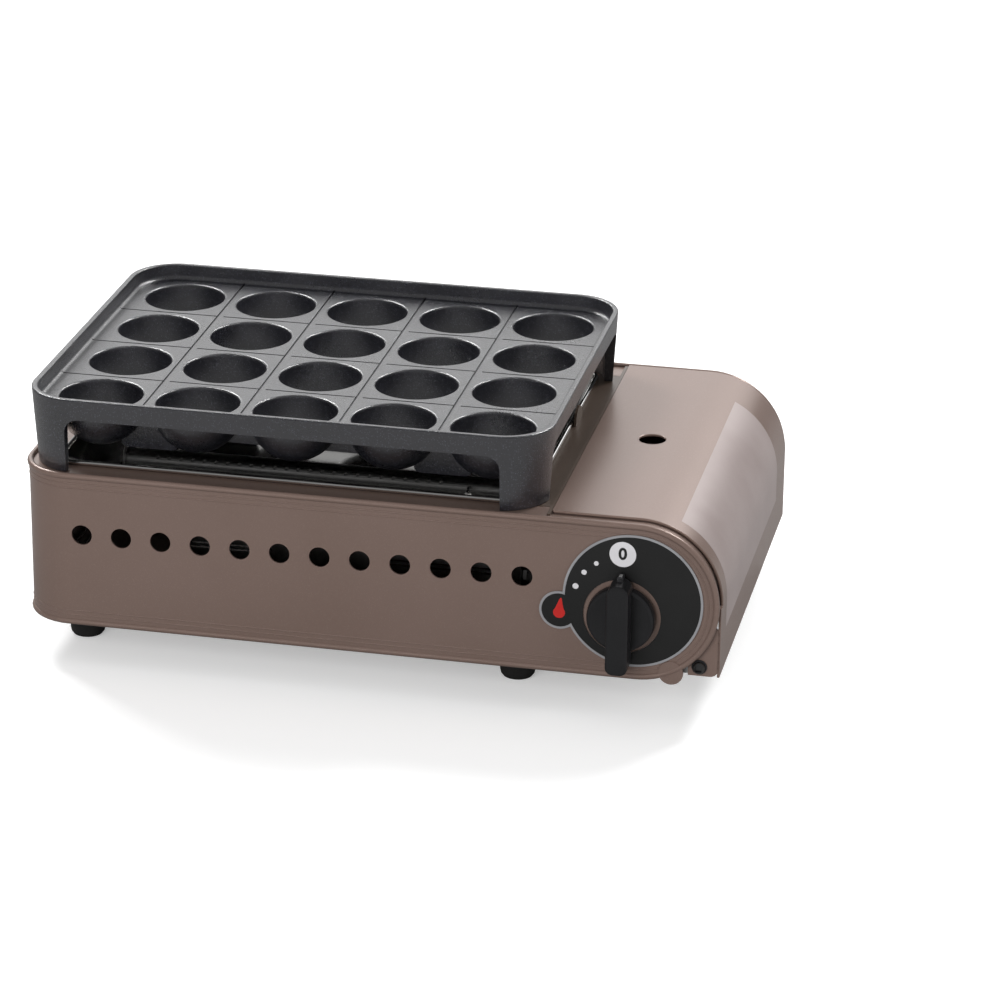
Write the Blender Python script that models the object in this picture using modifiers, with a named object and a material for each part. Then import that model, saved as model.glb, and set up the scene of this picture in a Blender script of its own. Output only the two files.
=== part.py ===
"""Tabletop takoyaki maker: a gas grill for octopus balls, run from a canister beside the burner.

Metres, +Z up. +X runs towards the canister bay, +Y to the back. The origin is at the bottom centre.
"""

import math

import bmesh
import bpy
from mathutils import Matrix, Vector

# Overall sizes
OVERALL_WIDTH = 0.348
OVERALL_DEPTH = 0.231
KNOB_REACH = 0.014
FOOT_CLEARANCE = 0.022
PANEL_HEIGHT = 0.080
RIM_ABOVE_BODY = 0.037

# Sheet metal
SHEET = 0.0012
BEAD_RADIUS = 0.0016
GAP = 0.0003
OVERRUN = 0.004
BODY_CORNER = 0.025
LEDGE_WIDTH = 0.015
VENT_COUNT = 12
VENT_PITCH = 0.0199
VENT_RADIUS = 0.0051
VENT_HEIGHT = 0.048
VENT_START = 0.0333
VENT_SIDES = 12
LOBE_RADIUS = 0.0060
LOBE_FROM_END = 0.0175
LOBE_DROP = 0.0007
FLANGE_END_ANGLE = -34

# Canister bay and its cover
COVER_WIDTH = 0.083
COVER_PROUD = 0.0005
COVER_FRONT_STEP = 0.0095
COVER_BOTTOM_RISE = 0.004
HINGE_INSET = 0.0097
HINGE_RISE = 0.0088
EAR_TOP_DROP = 0.010
EAR_REACH = 0.0055
SIGHT_HOLE_RADIUS = 0.007
SIGHT_HOLE_FROM_LEFT = 0.030
SIGHT_HOLE_FROM_FRONT = 0.102
CANISTER_RADIUS = 0.03375
CANISTER_CLEARANCE = 0.003
CRADLE_HALF_GAUGE = 0.015
CRADLE_RIDGE = 0.005
CRADLE_FROM_RING = 0.008
CRADLE_FROM_REAR = 0.016
CRADLE_SCREW_INSET = 0.008
CRADLE_SHEET = 0.0010
WALL_LEDGE = 0.012
WALL_FOOT = 0.012
WALL_LIP = 0.004
WALL_TAB_RADIUS = 0.008
WALL_SCREW_INSET = 0.012

# Takoyaki plate
PLATE_INSET_SIDE = 0.0024
PLATE_INSET_END = 0.0033
PIT_PITCH_LEAST = 0.047
PIT_RADIUS = 0.0204
PIT_DROP = 0.0022
PIT_WALL = 0.0022
PIT_CHAMFER = 0.0009
PLATE_MARGIN_SIDE = 0.0076
PLATE_MARGIN_END = 0.0072
PLATE_CORNER = 0.025
PLATE_DRAFT = 0.0020
RIM_HEIGHT = 0.0078
RIM_THICKNESS = 0.0030
FLOOR_THICKNESS = 0.0026
SKIRT_HEIGHT = 0.0105
LEG_THICKNESS = 0.0045
LEG_WIDTH = 0.0205
ARCH_RADIUS = 0.0070
WEB_THICKNESS = 0.0022
DEEP_WEB = 0.0235
SHALLOW_WEB = 0.0165
GROOVE_WIDTH = 0.0010
GROOVE_DEPTH = 0.0008

# Dial and knob
DIAL_RADIUS = 0.0338
DIAL_THICKNESS = 0.0006
DIAL_LOBE_RADIUS = 0.0097
DIAL_LOBE_REACH = 0.0353
DIAL_LOBE_DROP = 0.0080
KNOB_FROM_END = 0.0066
KNOB_HEIGHT = 0.0325
KNOB_WELL_RADIUS = 0.0188
KNOB_RADIUS = 0.0166
KNOB_BASE = 0.0050
GRIP_WIDTH = 0.0107
GRIP_UP = 0.0210
GRIP_DOWN = 0.0250
SPINDLE_RADIUS = 0.0040
KNOB_TURN = math.radians(84)
KNOB_BORE = 0.0090
POINTER_WIDTH = 0.0025
POINTER_RISE = 0.0020
POINTER_LENGTH = 0.0070
DIAL_FROM_END = 0.0015
DIAL_RISE = 0.0009

# Igniter
CAM_RADIUS = 0.0100
CAM_RISE = 0.0050
CAM_THICKNESS = 0.0024
IGNITER_RADIUS = 0.0037
IGNITER_LENGTH = 0.0240
PLUNGER_RADIUS = 0.0020
PLUNGER_SHOWING = 0.0075
PLUNGER_INSIDE = 0.0080
CLIP_SHEET = 0.0008
CLIP_HEIGHT = 0.0080
CLIP_TAIL = 0.0120
LEAD_FROM_JET = 0.0100
LEAD_ABOVE_JET = 0.0125

# Burner
BURNER_RADIUS = 0.0065
BURNER_CAP_RADIUS = 0.0088
BURNER_CAP = 0.0015
BURNER_AXIS_DROP = 0.0119
BURNER_END_GAP = 0.0035
BURNER_FROM_PAN = 0.0445
CROSS_FROM_END = 0.0075
BURNER_SEAM = 0.0025
SEAM_THICKNESS = 0.0010
RISER_RADIUS = 0.0075
RISER_OFFSET = 0.023
MIXER_RADIUS = 0.0080
MIXER_HORN_RADIUS = 0.0100
MIXER_HORN_LENGTH = 0.010
MIXER_WALL = 0.0012
MIXER_HEIGHT = 0.038
MIXER_BEND = 0.012
JET_SETBACK = 0.0275
JET_RADIUS = 0.0035
JET_HEX_RADIUS = 0.0055
PIPE_RADIUS = 0.0020
SUPPORT_WIDTH = 0.010
SUPPORT_LEFT_INSET = 0.020
SUPPORT_RIGHT_INSET = 0.040
SADDLE_HEIGHT = 0.007
SADDLE_WALL = 0.0015
STAND_SHEET = 0.0010
STAND_LENGTH = 0.1675
STAND_FROM_WALL = 0.0145
STAND_INSET = 0.0145
STAND_FOOT = 0.009
SLOT_HEIGHT = 0.0010
SLOT_SPACING = 0.0023
SLOT_DROP = 0.0060
SLOT_GROUPS = ((0.002, 0.042), (0.101, 0.161))
CLAMP_SHEET = 0.0010
CLAMP_WIDTH = 0.009

# Drip pan
PAN_SHEET = 0.0008
PAN_LIP_RADIUS = 0.0012
PAN_LIP_SEAT = 0.0016
PAN_DEPTH = 0.022
PAN_SLOPE = 0.020
PAN_END_SLOPE = 0.0035
PAN_CORNER = 0.012
PAN_FLOOR_CORNER = 0.026

# Spark electrode
ELECTRODE_FROM_WALL = 0.047
ELECTRODE_FROM_BURNER = 0.014
ELECTRODE_RADIUS = 0.0025
ELECTRODE_RISE = 0.013
ELECTRODE_WIRE = 0.0008
SPARK_GAP = 0.0030
LEAD_RADIUS = 0.0011

# Gas valve and canister mount
VALVE_RADIUS = 0.020
VALVE_DEPTH = 0.015
VALVE_SIDES = 24
MAGNET_RING = 0.004
MAGNET_RING_BORE = 0.011
MAGNET_LENGTH = 0.010
MAGNET_WIDTH = 0.005
NOZZLE_RADIUS = 0.0050
NOZZLE_LENGTH = 0.0060
SPINDLE_SEAT = 0.0040
OUTLET_LENGTH = 0.0050
VALVE_SCREW_REACH = 0.0130
VALVE_SCREW_LENGTH = 0.0070
BRACKET_FOOT = 0.010
BRACKET_WIDTH = 0.042
BRACKET_NARROW = 0.028
BRACKET_HEIGHT = 0.066
ARM_FOOT = 0.009
ARM_FOOT_LENGTH = 0.0105
ARM_HEIGHT = 0.0085
ARM_BOSS = 0.0046

# Fasteners
SCREW_SHANK = 0.0015
SCREW_HEAD = 0.0030
SCREW_HEAD_HEIGHT = 0.0018
SCREW_CLEARANCE = 0.0004
PIN_BUSH_RADIUS = 0.0037
PIN_BUSH_FLANGE = 0.0008

# Feet and base
FOOT_RADIUS = 0.0088
FOOT_BODY_HEIGHT = 0.0120
FOOT_INSET_SIDE = 0.0225
FOOT_INSET_FRONT = 0.040
FOOT_INSET_BAY = 0.022
BASE_LIP = 0.007
PAD_WIDER = 0.0014
PAD_TAPER = 0.0010
STEM_RADIUS = 0.0028
STEM_HEAD = 0.0040
BASE_SHORT = 0.0105
BAY_SLOT = 0.030
BAY_SLOT_SHARES = (-0.2, 0.2)

# Shares of a size
FOOT_DOME_SHARE = 0.45
STEM_TIP_SHARE = 0.5
SCREW_CROWN_SHARE = 0.6

# Facets
CORNER_STEPS = 4
END_STEPS = 16
ROUND_SIDES = 16
SMALL_SIDES = 8
PIT_SIDES = 16
PIT_RINGS = 3

# Places worked out from the sizes
LEFT = -OVERALL_WIDTH / 2
RIGHT = OVERALL_WIDTH / 2
REAR = OVERALL_DEPTH / 2
FRONT = -OVERALL_DEPTH / 2 + KNOB_REACH
PANEL_BOTTOM = FOOT_CLEARANCE
PANEL_TOP = PANEL_BOTTOM + PANEL_HEIGHT
HALF_SHEET = SHEET / 2
SKIN_FRONT = FRONT + BEAD_RADIUS
SKIN_REAR = REAR - BEAD_RADIUS
SKIN_LEFT = LEFT + BEAD_RADIUS
SKIN_BOTTOM = PANEL_BOTTOM + BEAD_RADIUS
SKIN_TOP = PANEL_TOP - BEAD_RADIUS
INNER_FRONT = SKIN_FRONT + HALF_SHEET
INNER_REAR = SKIN_REAR - HALF_SHEET
MIDDLE_Y = (FRONT + REAR) / 2

END_RADIUS = PANEL_HEIGHT / 2
END_X = RIGHT - COVER_PROUD - END_RADIUS
END_Z = PANEL_BOTTOM + END_RADIUS
END_SKIN_RADIUS = END_RADIUS - BEAD_RADIUS

LEDGE_TOP = PANEL_TOP - SHEET - GAP - GAP / 2
LEDGE_BOTTOM = LEDGE_TOP - SHEET
FLANGE_RADIUS = LEDGE_TOP - END_Z

COVER_LEFT = RIGHT - COVER_WIDTH
COVER_RADIUS = END_RADIUS + COVER_PROUD
COVER_Z = PANEL_TOP - COVER_RADIUS
COVER_FRONT = FRONT + COVER_FRONT_STEP
COVER_REAR = REAR - 2 * BEAD_RADIUS - GAP
COVER_BOTTOM = PANEL_BOTTOM + COVER_BOTTOM_RISE
HINGE_X = RIGHT - HINGE_INSET
HINGE_Z = PANEL_BOTTOM + HINGE_RISE
EAR_FRONT = SKIN_FRONT + BEAD_RADIUS + GAP
EAR_REAR = SKIN_REAR - BEAD_RADIUS - GAP

HEM = BEAD_RADIUS
WALL_X = COVER_LEFT - GAP - HEM
INSIDE_FRONT = FRONT + 2 * BEAD_RADIUS + 2 * GAP + SHEET
INSIDE_REAR = REAR - 2 * BEAD_RADIUS - 2 * GAP - SHEET
CHAMBER_X = (LEFT + COVER_LEFT) / 2

PLATE_WIDTH = COVER_LEFT - LEFT - 2 * PLATE_INSET_SIDE
PLATE_DEPTH = REAR - FRONT - 2 * PLATE_INSET_END
CELLS_WIDTH = PLATE_WIDTH - 2 * PLATE_MARGIN_SIDE
CELLS_DEPTH = PLATE_DEPTH - 2 * PLATE_MARGIN_END
PIT_COLUMNS = int(CELLS_WIDTH / PIT_PITCH_LEAST)
PIT_ROWS = int(CELLS_DEPTH / PIT_PITCH_LEAST)
PITCH_ACROSS = CELLS_WIDTH / PIT_COLUMNS
PITCH_BACK = CELLS_DEPTH / PIT_ROWS
PLATE_TOP = PANEL_TOP + RIM_ABOVE_BODY
PLATE_FLOOR = PLATE_TOP - RIM_HEIGHT
PLATE_FOOT = LEDGE_TOP + GAP
PIT_CENTRE_Z = PLATE_FLOOR - PIT_DROP

BASE_BOTTOM = PANEL_BOTTOM + 2 * BEAD_RADIUS - SHEET
BASE_TOP = BASE_BOTTOM + SHEET
BASE_FLOOR = BASE_TOP + GAP
BASE_RIGHT = HINGE_X - BASE_SHORT
VENT_Z = PANEL_BOTTOM + VENT_HEIGHT

KNOB_X = END_X - KNOB_FROM_END
KNOB_Z = PANEL_BOTTOM + KNOB_HEIGHT
DIAL_BACK = SKIN_FRONT - HALF_SHEET - GAP
DIAL_FACE = DIAL_BACK - DIAL_THICKNESS
KNOB_BACK = DIAL_FACE - 2 * GAP
KNOB_FACE = -OVERALL_DEPTH / 2

CANISTER_X = (COVER_LEFT + RIGHT - SHEET) / 2
CANISTER_Z = BASE_TOP + CANISTER_CLEARANCE + CANISTER_RADIUS

PAN_TOP = LEDGE_TOP + GAP
PAN_LIP_Z = PAN_TOP + PAN_LIP_RADIUS
PAN_FLOOR = PAN_TOP - PAN_DEPTH
PAN_LEFT = SKIN_LEFT + LEDGE_WIDTH - PAN_LIP_SEAT
PAN_RIGHT = WALL_X - WALL_LEDGE + PAN_LIP_SEAT
PAN_FRONT = SKIN_FRONT + LEDGE_WIDTH - PAN_LIP_SEAT
PAN_REAR = SKIN_REAR - LEDGE_WIDTH + PAN_LIP_SEAT

BURNER_Z = LEDGE_TOP - BURNER_AXIS_DROP
BURNER_LEFT = PAN_LEFT + PAN_SLOPE + BURNER_CAP_RADIUS / 2
BURNER_RIGHT = PAN_RIGHT - PAN_END_SLOPE - PAN_SHEET - BURNER_END_GAP
BURNER_FRONT = PAN_FRONT + BURNER_FROM_PAN
BURNER_REAR = PAN_REAR - BURNER_FROM_PAN
CROSS_X = BURNER_RIGHT - CROSS_FROM_END
RISER_Y = MIDDLE_Y + RISER_OFFSET
MIXER_Z = PANEL_BOTTOM + MIXER_HEIGHT
JET_Y = FRONT + JET_SETBACK
STAND_TOP = PAN_FLOOR - PAN_SHEET - GAP
STAND_RIGHT = WALL_X - STAND_FROM_WALL
STAND_LEFT = STAND_RIGHT - STAND_LENGTH
STAND_FRONT = INNER_FRONT + STAND_INSET
STAND_REAR = INNER_REAR - STAND_INSET
RISER_BOTTOM = STAND_TOP - STAND_SHEET - RISER_RADIUS / 2
ELECTRODE_X = WALL_X - ELECTRODE_FROM_WALL
ELECTRODE_Y = BURNER_FRONT - ELECTRODE_FROM_BURNER

CAM_MIDDLE = INNER_FRONT + GAP + CLIP_SHEET + 2 * GAP + IGNITER_RADIUS
BRACKET_FRONT = CAM_MIDDLE + IGNITER_RADIUS + 2 * GAP + CLIP_SHEET
VALVE_FRONT = BRACKET_FRONT + SHEET + GAP
VALVE_REAR = VALVE_FRONT + VALVE_DEPTH
RING_REAR = VALVE_REAR + GAP + MAGNET_RING
PLUNGER_TIP = KNOB_Z + CAM_RADIUS + 2 * GAP
IGNITER_BOTTOM = PLUNGER_TIP + PLUNGER_SHOWING
LEAD_HOLE_Y = JET_Y + LEAD_FROM_JET
LEAD_HOLE_Z = MIXER_Z + LEAD_ABOVE_JET
CRADLE_FRONT = RING_REAR + CRADLE_FROM_RING
CRADLE_REAR = COVER_REAR - CRADLE_FROM_REAR
HINGE_ARM_FRONT = INSIDE_FRONT
HINGE_ARM_REAR = INSIDE_REAR
ARM_FOOT_X = BASE_RIGHT - SHEET - 2 * GAP - ARM_FOOT_LENGTH / 2
DIAL_X = END_X - DIAL_FROM_END
DIAL_Z = END_Z + DIAL_RISE

PARTS = bpy.data.collections.new("takoyaki_maker")
GUIDES = bpy.data.collections.new("joint_guides")


def clear_scene():
    for item in list(bpy.data.objects):
        bpy.data.objects.remove(item, do_unlink=True)
    bpy.context.scene.collection.children.link(PARTS)
    bpy.context.scene.collection.children.link(GUIDES)


def paint(name, colour, metallic, roughness):
    material = bpy.data.materials.new(name)
    material.use_nodes = True
    shader = material.node_tree.nodes["Principled BSDF"]
    shader.inputs["Base Color"].default_value = (*colour, 1)
    shader.inputs["Metallic"].default_value = metallic
    shader.inputs["Roughness"].default_value = roughness
    material.diffuse_color = (*colour, 1)
    return material


def object_from(name, mesh):
    item = bpy.data.objects.new(name, mesh)
    PARTS.objects.link(item)
    return item


def from_bmesh(name, form):
    bmesh.ops.recalc_face_normals(form, faces=form.faces)
    mesh = bpy.data.meshes.new(name)
    form.to_mesh(mesh)
    form.free()
    return object_from(name, mesh)


def baked(item):
    """Replace an object by the mesh that its modifiers or its curve make, welded and in place."""
    graph = bpy.context.evaluated_depsgraph_get()
    mesh = bpy.data.meshes.new_from_object(item.evaluated_get(graph))
    form = bmesh.new()
    form.from_mesh(mesh)
    form.transform(item.matrix_world)
    bmesh.ops.remove_doubles(form, verts=form.verts, dist=GAP / 1000)
    name = item.name
    bpy.data.objects.remove(item, do_unlink=True)
    return from_bmesh(name, form)


def box(name, x0, x1, y0, y1, z0, z1):
    form = bmesh.new()
    bmesh.ops.create_cube(form, size=1)
    size = Matrix.Diagonal((x1 - x0, y1 - y0, z1 - z0, 1))
    centre = Matrix.Translation(((x0 + x1) / 2, (y0 + y1) / 2, (z0 + z1) / 2))
    form.transform(centre @ size)
    return from_bmesh(name, form)


def turn_to(axis):
    """The turn that takes +Z to a named axis."""
    return Vector((0, 0, 1)).rotation_difference(Vector(axis)).to_matrix().to_4x4()


def rod(name, start, end, radius, sides=ROUND_SIDES, end_radius=None):
    """A cylinder or cone frustum between two points."""
    start = Vector(start)
    end = Vector(end)
    along = end - start
    form = bmesh.new()
    bmesh.ops.create_cone(
        form, cap_ends=True, segments=sides, radius1=radius,
        radius2=radius if end_radius is None else end_radius, depth=along.length,
    )
    form.transform(Matrix.Translation((start + end) / 2) @ turn_to(along.normalized()))
    return from_bmesh(name, form)


def turned(name, profile, place, axis, sides=SMALL_SIDES):
    """A profile of (radius, height) points, top to bottom, turned about an axis through a place."""
    form = bmesh.new()
    corners = [form.verts.new((radius, 0, height)) for radius, height in profile]
    for first, second in zip(corners, corners[1:]):
        form.edges.new((first, second))
    mesh = bpy.data.meshes.new(name)
    form.to_mesh(mesh)
    form.free()
    item = object_from(name, mesh)
    item.matrix_world = Matrix.Translation(place) @ turn_to(axis)
    screw = item.modifiers.new("turn", "SCREW")
    screw.axis = "Z"
    screw.angle = math.tau
    screw.steps = sides
    screw.render_steps = sides
    screw.use_merge_vertices = True
    screw.merge_threshold = GAP / 1000
    bpy.context.view_layer.update()
    return baked(item)


def prism(name, outline, low, high, plane):
    """A flat outline given in plane XY, XZ or YZ, raised from low to high along the third axis."""
    curve = bpy.data.curves.new(name, "CURVE")
    curve.dimensions = "2D"
    curve.fill_mode = "BOTH"
    curve.extrude = (high - low) / 2
    spline = curve.splines.new("POLY")
    spline.points.add(len(outline) - 1)
    for point, (across, up) in zip(spline.points, outline):
        point.co = (across, up, 0, 1)
    spline.use_cyclic_u = True
    item = object_from(name, curve)
    middle = (low + high) / 2
    frames = {
        "XY": Matrix.Translation((0, 0, middle)),
        "XZ": Matrix.Translation((0, middle, 0)) @ Matrix.Rotation(math.pi / 2, 4, "X"),
        "YZ": Matrix(((0, 0, 1, middle), (1, 0, 0, 0), (0, 1, 0, 0), (0, 0, 0, 1))),
    }
    item.matrix_world = frames[plane]
    bpy.context.view_layer.update()
    return baked(item)


def swept(name, points, radius, cyclic=False, resolution=2):
    """A round tube or wire along a list of points."""
    curve = bpy.data.curves.new(name, "CURVE")
    curve.dimensions = "3D"
    curve.bevel_depth = radius
    curve.bevel_resolution = resolution
    curve.use_fill_caps = True
    spline = curve.splines.new("POLY")
    spline.points.add(len(points) - 1)
    for point, place in zip(spline.points, points):
        point.co = (*place, 1)
    spline.use_cyclic_u = cyclic
    item = object_from(name, curve)
    bpy.context.view_layer.update()
    return baked(item)


def boolean(target, tools, operation):
    """Join or cut with a list of objects, which are used up."""
    for tool in tools:
        step = target.modifiers.new("step", "BOOLEAN")
        step.operation = operation
        step.solver = "EXACT"
        step.object = tool
        tool.display_type = "WIRE"
        tool.hide_render = True
    bpy.context.view_layer.update()
    result = baked(target)
    for tool in tools:
        bpy.data.objects.remove(tool, do_unlink=True)
    return result


def join(target, *tools):
    return boolean(target, tools, "UNION")


def cut(target, *tools):
    return boolean(target, tools, "DIFFERENCE")


def common(target, tool):
    return boolean(target, [tool], "INTERSECT")


def finish(item, material, flat=30):
    """Give a part its material and smooth shading, with edges sharper than the angle kept crisp."""
    item.data.materials.clear()
    item.data.materials.append(material)
    item.data.shade_smooth()
    item.data.set_sharp_from_angle(angle=math.radians(flat))
    return item


def ride(item, pivot):
    """Put an object's origin on its joint's axis and hang it on the joint's empty."""
    place = pivot.matrix_world.translation
    item.data.transform(Matrix.Translation(-place))
    item.parent = pivot
    return item


def guide(name, place):
    empty = bpy.data.objects.new(name, None)
    empty.location = place
    GUIDES.objects.link(empty)
    bpy.context.view_layer.update()
    return empty


def arc(centre, radius, start, end, steps):
    """Points of an arc, angles in degrees."""
    return [
        (
            centre[0] + radius * math.cos(math.radians(start + (end - start) * step / steps)),
            centre[1] + radius * math.sin(math.radians(start + (end - start) * step / steps)),
        )
        for step in range(steps + 1)
    ]


def rounded(x0, x1, y0, y1, radius, steps=CORNER_STEPS):
    """A rectangle with four rounded corners, counter-clockwise."""
    return (
        arc((x1 - radius, y1 - radius), radius, 0, 90, steps)
        + arc((x0 + radius, y1 - radius), radius, 90, 180, steps)
        + arc((x0 + radius, y0 + radius), radius, 180, 270, steps)
        + arc((x1 - radius, y0 + radius), radius, 270, 360, steps)
    )


def stacked(name, levels, cap_first=True, cap_last=True):
    """A loft through outlines of equal count, each a list of (x, y) and a height."""
    form = bmesh.new()
    loops = []
    for outline, height in levels:
        corners = [form.verts.new((x, y, height)) for x, y in outline]
        edges = [form.edges.new((a, b)) for a, b in zip(corners, corners[1:] + corners[:1])]
        loops.append((corners, edges))
    for (_, lower), (_, upper) in zip(loops, loops[1:]):
        bmesh.ops.bridge_loops(form, edges=lower + upper)
    if cap_first:
        form.faces.new(loops[0][0])
    if cap_last:
        form.faces.new(loops[-1][0])
    return from_bmesh(name, form)


def body_plan(offset, right):
    """The body seen from above, drawn in from its outermost line: round corners on the left only."""
    radius = BODY_CORNER - offset
    x0 = LEFT + offset
    y0 = FRONT + offset
    y1 = REAR - offset
    return (
        [(right, y1)]
        + arc((x0 + radius, y1 - radius), radius, 90, 180, CORNER_STEPS)
        + arc((x0 + radius, y0 + radius), radius, 180, 270, CORNER_STEPS)
        + [(right, y0)]
    )


def body_shell():
    """One band round the front, left and back, with half-round ends beside the canister bay."""
    side = [(LEFT - OVERRUN, SKIN_TOP), (LEFT - OVERRUN, SKIN_BOTTOM)]
    side += arc((END_X, END_Z), END_SKIN_RADIUS, -90, 90, END_STEPS)
    shell = prism("body_shell", side, FRONT, REAR, "XZ")
    outer = prism(
        "outer", body_plan(BEAD_RADIUS - HALF_SHEET, RIGHT + OVERRUN),
        PANEL_BOTTOM - OVERRUN, PANEL_TOP + OVERRUN, "XY",
    )
    inner = prism(
        "inner", body_plan(BEAD_RADIUS + HALF_SHEET, RIGHT + 2 * OVERRUN),
        PANEL_BOTTOM - 2 * OVERRUN, PANEL_TOP + 2 * OVERRUN, "XY",
    )
    shell = cut(common(shell, outer), inner)
    shell = join(shell, top_ledge(), end_flange("front"), end_flange("rear"))
    shell = join(shell, edge_bead(), lower_lobe("front"), lower_lobe("rear"))
    holes = [
        rod(
            "vent", (vent_x(number), FRONT - OVERRUN, VENT_Z), (vent_x(number), REAR + OVERRUN, VENT_Z),
            VENT_RADIUS, VENT_SIDES,
        )
        for number in range(VENT_COUNT)
    ]
    holes.append(
        rod(
            "spindle_hole", (KNOB_X, FRONT - OVERRUN, KNOB_Z), (KNOB_X, INNER_FRONT + OVERRUN / 2, KNOB_Z),
            SPINDLE_RADIUS + SHEET, SMALL_SIDES,
        )
    )
    return cut(shell, *holes)


def vent_x(number):
    return LEFT + VENT_START + number * VENT_PITCH


def top_ledge():
    """The flat flange turned in along the top, where the plate stands and the drip pan hangs."""
    inner_edge = body_plan(BEAD_RADIUS + LEDGE_WIDTH, END_X)
    outline = body_plan(BEAD_RADIUS, END_X) + inner_edge[::-1]
    return prism("ledge", outline, LEDGE_BOTTOM, LEDGE_TOP, "XY")


def end_flange(side):
    """The ledge carried on round the half-round end, under the cover's edge."""
    outline = [(END_X - SHEET, LEDGE_TOP - SHEET / 4)]
    outline += arc((END_X, END_Z), FLANGE_RADIUS, 90, FLANGE_END_ANGLE, END_STEPS)
    outline += arc((END_X, END_Z), FLANGE_RADIUS - SHEET, FLANGE_END_ANGLE, 90, END_STEPS)
    outline += [(END_X - SHEET, LEDGE_BOTTOM + SHEET / 4)]
    if side == "front":
        return prism("flange", outline, SKIN_FRONT + HALF_SHEET / 2, SKIN_FRONT + LEDGE_WIDTH, "XZ")
    return prism("flange", outline, SKIN_REAR - LEDGE_WIDTH, SKIN_REAR - HALF_SHEET / 2, "XZ")


def edge_bead():
    """The rolled bead: one closed line along the top, down each half-round end and along the bottom."""
    radius = BODY_CORNER - BEAD_RADIUS
    left_rear = arc((SKIN_LEFT + radius, SKIN_REAR - radius), radius, 90, 180, CORNER_STEPS)
    left_front = arc((SKIN_LEFT + radius, SKIN_FRONT + radius), radius, 180, 270, CORNER_STEPS)
    plan = left_rear + left_front
    rise = arc((END_X, END_Z), END_SKIN_RADIUS, -90, 90, END_STEPS)
    line = [(x, SKIN_FRONT, z) for x, z in rise]
    line += [(x, y, SKIN_TOP) for x, y in plan[::-1]]
    line += [(x, SKIN_REAR, z) for x, z in rise[::-1]]
    line += [(x, y, SKIN_BOTTOM) for x, y in plan]
    return swept("bead", line, BEAD_RADIUS, cyclic=True)


def lower_lobe(side):
    """The small round tab at the foot of each end panel that hides the hinge arm."""
    x = END_X + LOBE_FROM_END
    z = PANEL_BOTTOM - LOBE_DROP + LOBE_RADIUS
    outline = arc((x, z), LOBE_RADIUS, 0, 360, SMALL_SIDES * 2)[:-1]
    if side == "front":
        return prism("lobe", outline, SKIN_FRONT - SHEET, SKIN_FRONT + HALF_SHEET / 2, "XZ")
    return prism("lobe", outline, SKIN_REAR - HALF_SHEET / 2, SKIN_REAR + SHEET, "XZ")


def base_outline(offset):
    return body_plan(2 * BEAD_RADIUS + GAP + offset, BASE_RIGHT - offset)


def foot_places():
    for depth, y in (("front", FRONT + FOOT_INSET_FRONT), ("rear", REAR - FOOT_INSET_FRONT)):
        for side, x in (("left", LEFT + FOOT_INSET_SIDE), ("right", COVER_LEFT - FOOT_INSET_BAY)):
            yield f"{depth}_{side}", x, y


def base_plate():
    """The bottom pan: a floor with an upturned lip and a drawn pad over each foot."""
    plate = prism("base_plate", base_outline(0), BASE_BOTTOM, BASE_BOTTOM + BASE_LIP, "XY")
    hollow = prism("hollow", base_outline(SHEET), BASE_TOP, BASE_BOTTOM + BASE_LIP + OVERRUN, "XY")
    plate = cut(plate, hollow)
    pads = []
    wells = []
    pad_bottom = FOOT_BODY_HEIGHT + GAP
    radius = FOOT_RADIUS + PAD_WIDER
    for _, x, y in foot_places():
        pads.append(
            rod("pad", (x, y, pad_bottom), (x, y, BASE_BOTTOM + HALF_SHEET), radius - PAD_TAPER,
                ROUND_SIDES, radius)
        )
        wells.append(
            rod("well", (x, y, pad_bottom + SHEET), (x, y, BASE_TOP + OVERRUN),
                radius - PAD_TAPER - SHEET, ROUND_SIDES, radius - SHEET)
        )
        wells.append(
            rod("stem_hole", (x, y, pad_bottom - OVERRUN), (x, y, pad_bottom + OVERRUN / 2),
                STEM_RADIUS + GAP, SMALL_SIDES)
        )
    plate = join(plate, *pads)
    bay_x0 = CANISTER_X - CRADLE_HALF_GAUGE / 2
    bay_x1 = CANISTER_X + CRADLE_HALF_GAUGE / 2
    for share in BAY_SLOT_SHARES:
        middle = MIDDLE_Y + share * (REAR - FRONT)
        wells.append(
            box("slot", bay_x0, bay_x1, middle - BAY_SLOT / 2, middle + BAY_SLOT / 2,
                BASE_BOTTOM - OVERRUN, BASE_TOP + OVERRUN)
        )
    notch_x = BASE_RIGHT - SHEET - GAP
    for y0, y1 in ((FRONT, HINGE_ARM_FRONT + SHEET + GAP), (HINGE_ARM_REAR - SHEET - GAP, REAR)):
        wells.append(
            box("notch", notch_x, BASE_RIGHT + OVERRUN, y0, y1, BASE_TOP, BASE_TOP + BASE_LIP)
        )
    for _, x, y in base_screws():
        wells.append(
            rod("screw_hole", (x, y, BASE_BOTTOM - OVERRUN), (x, y, BASE_TOP + OVERRUN),
                SCREW_SHANK + SCREW_CLEARANCE, SMALL_SIDES)
        )
    return cut(plate, *wells)


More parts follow.
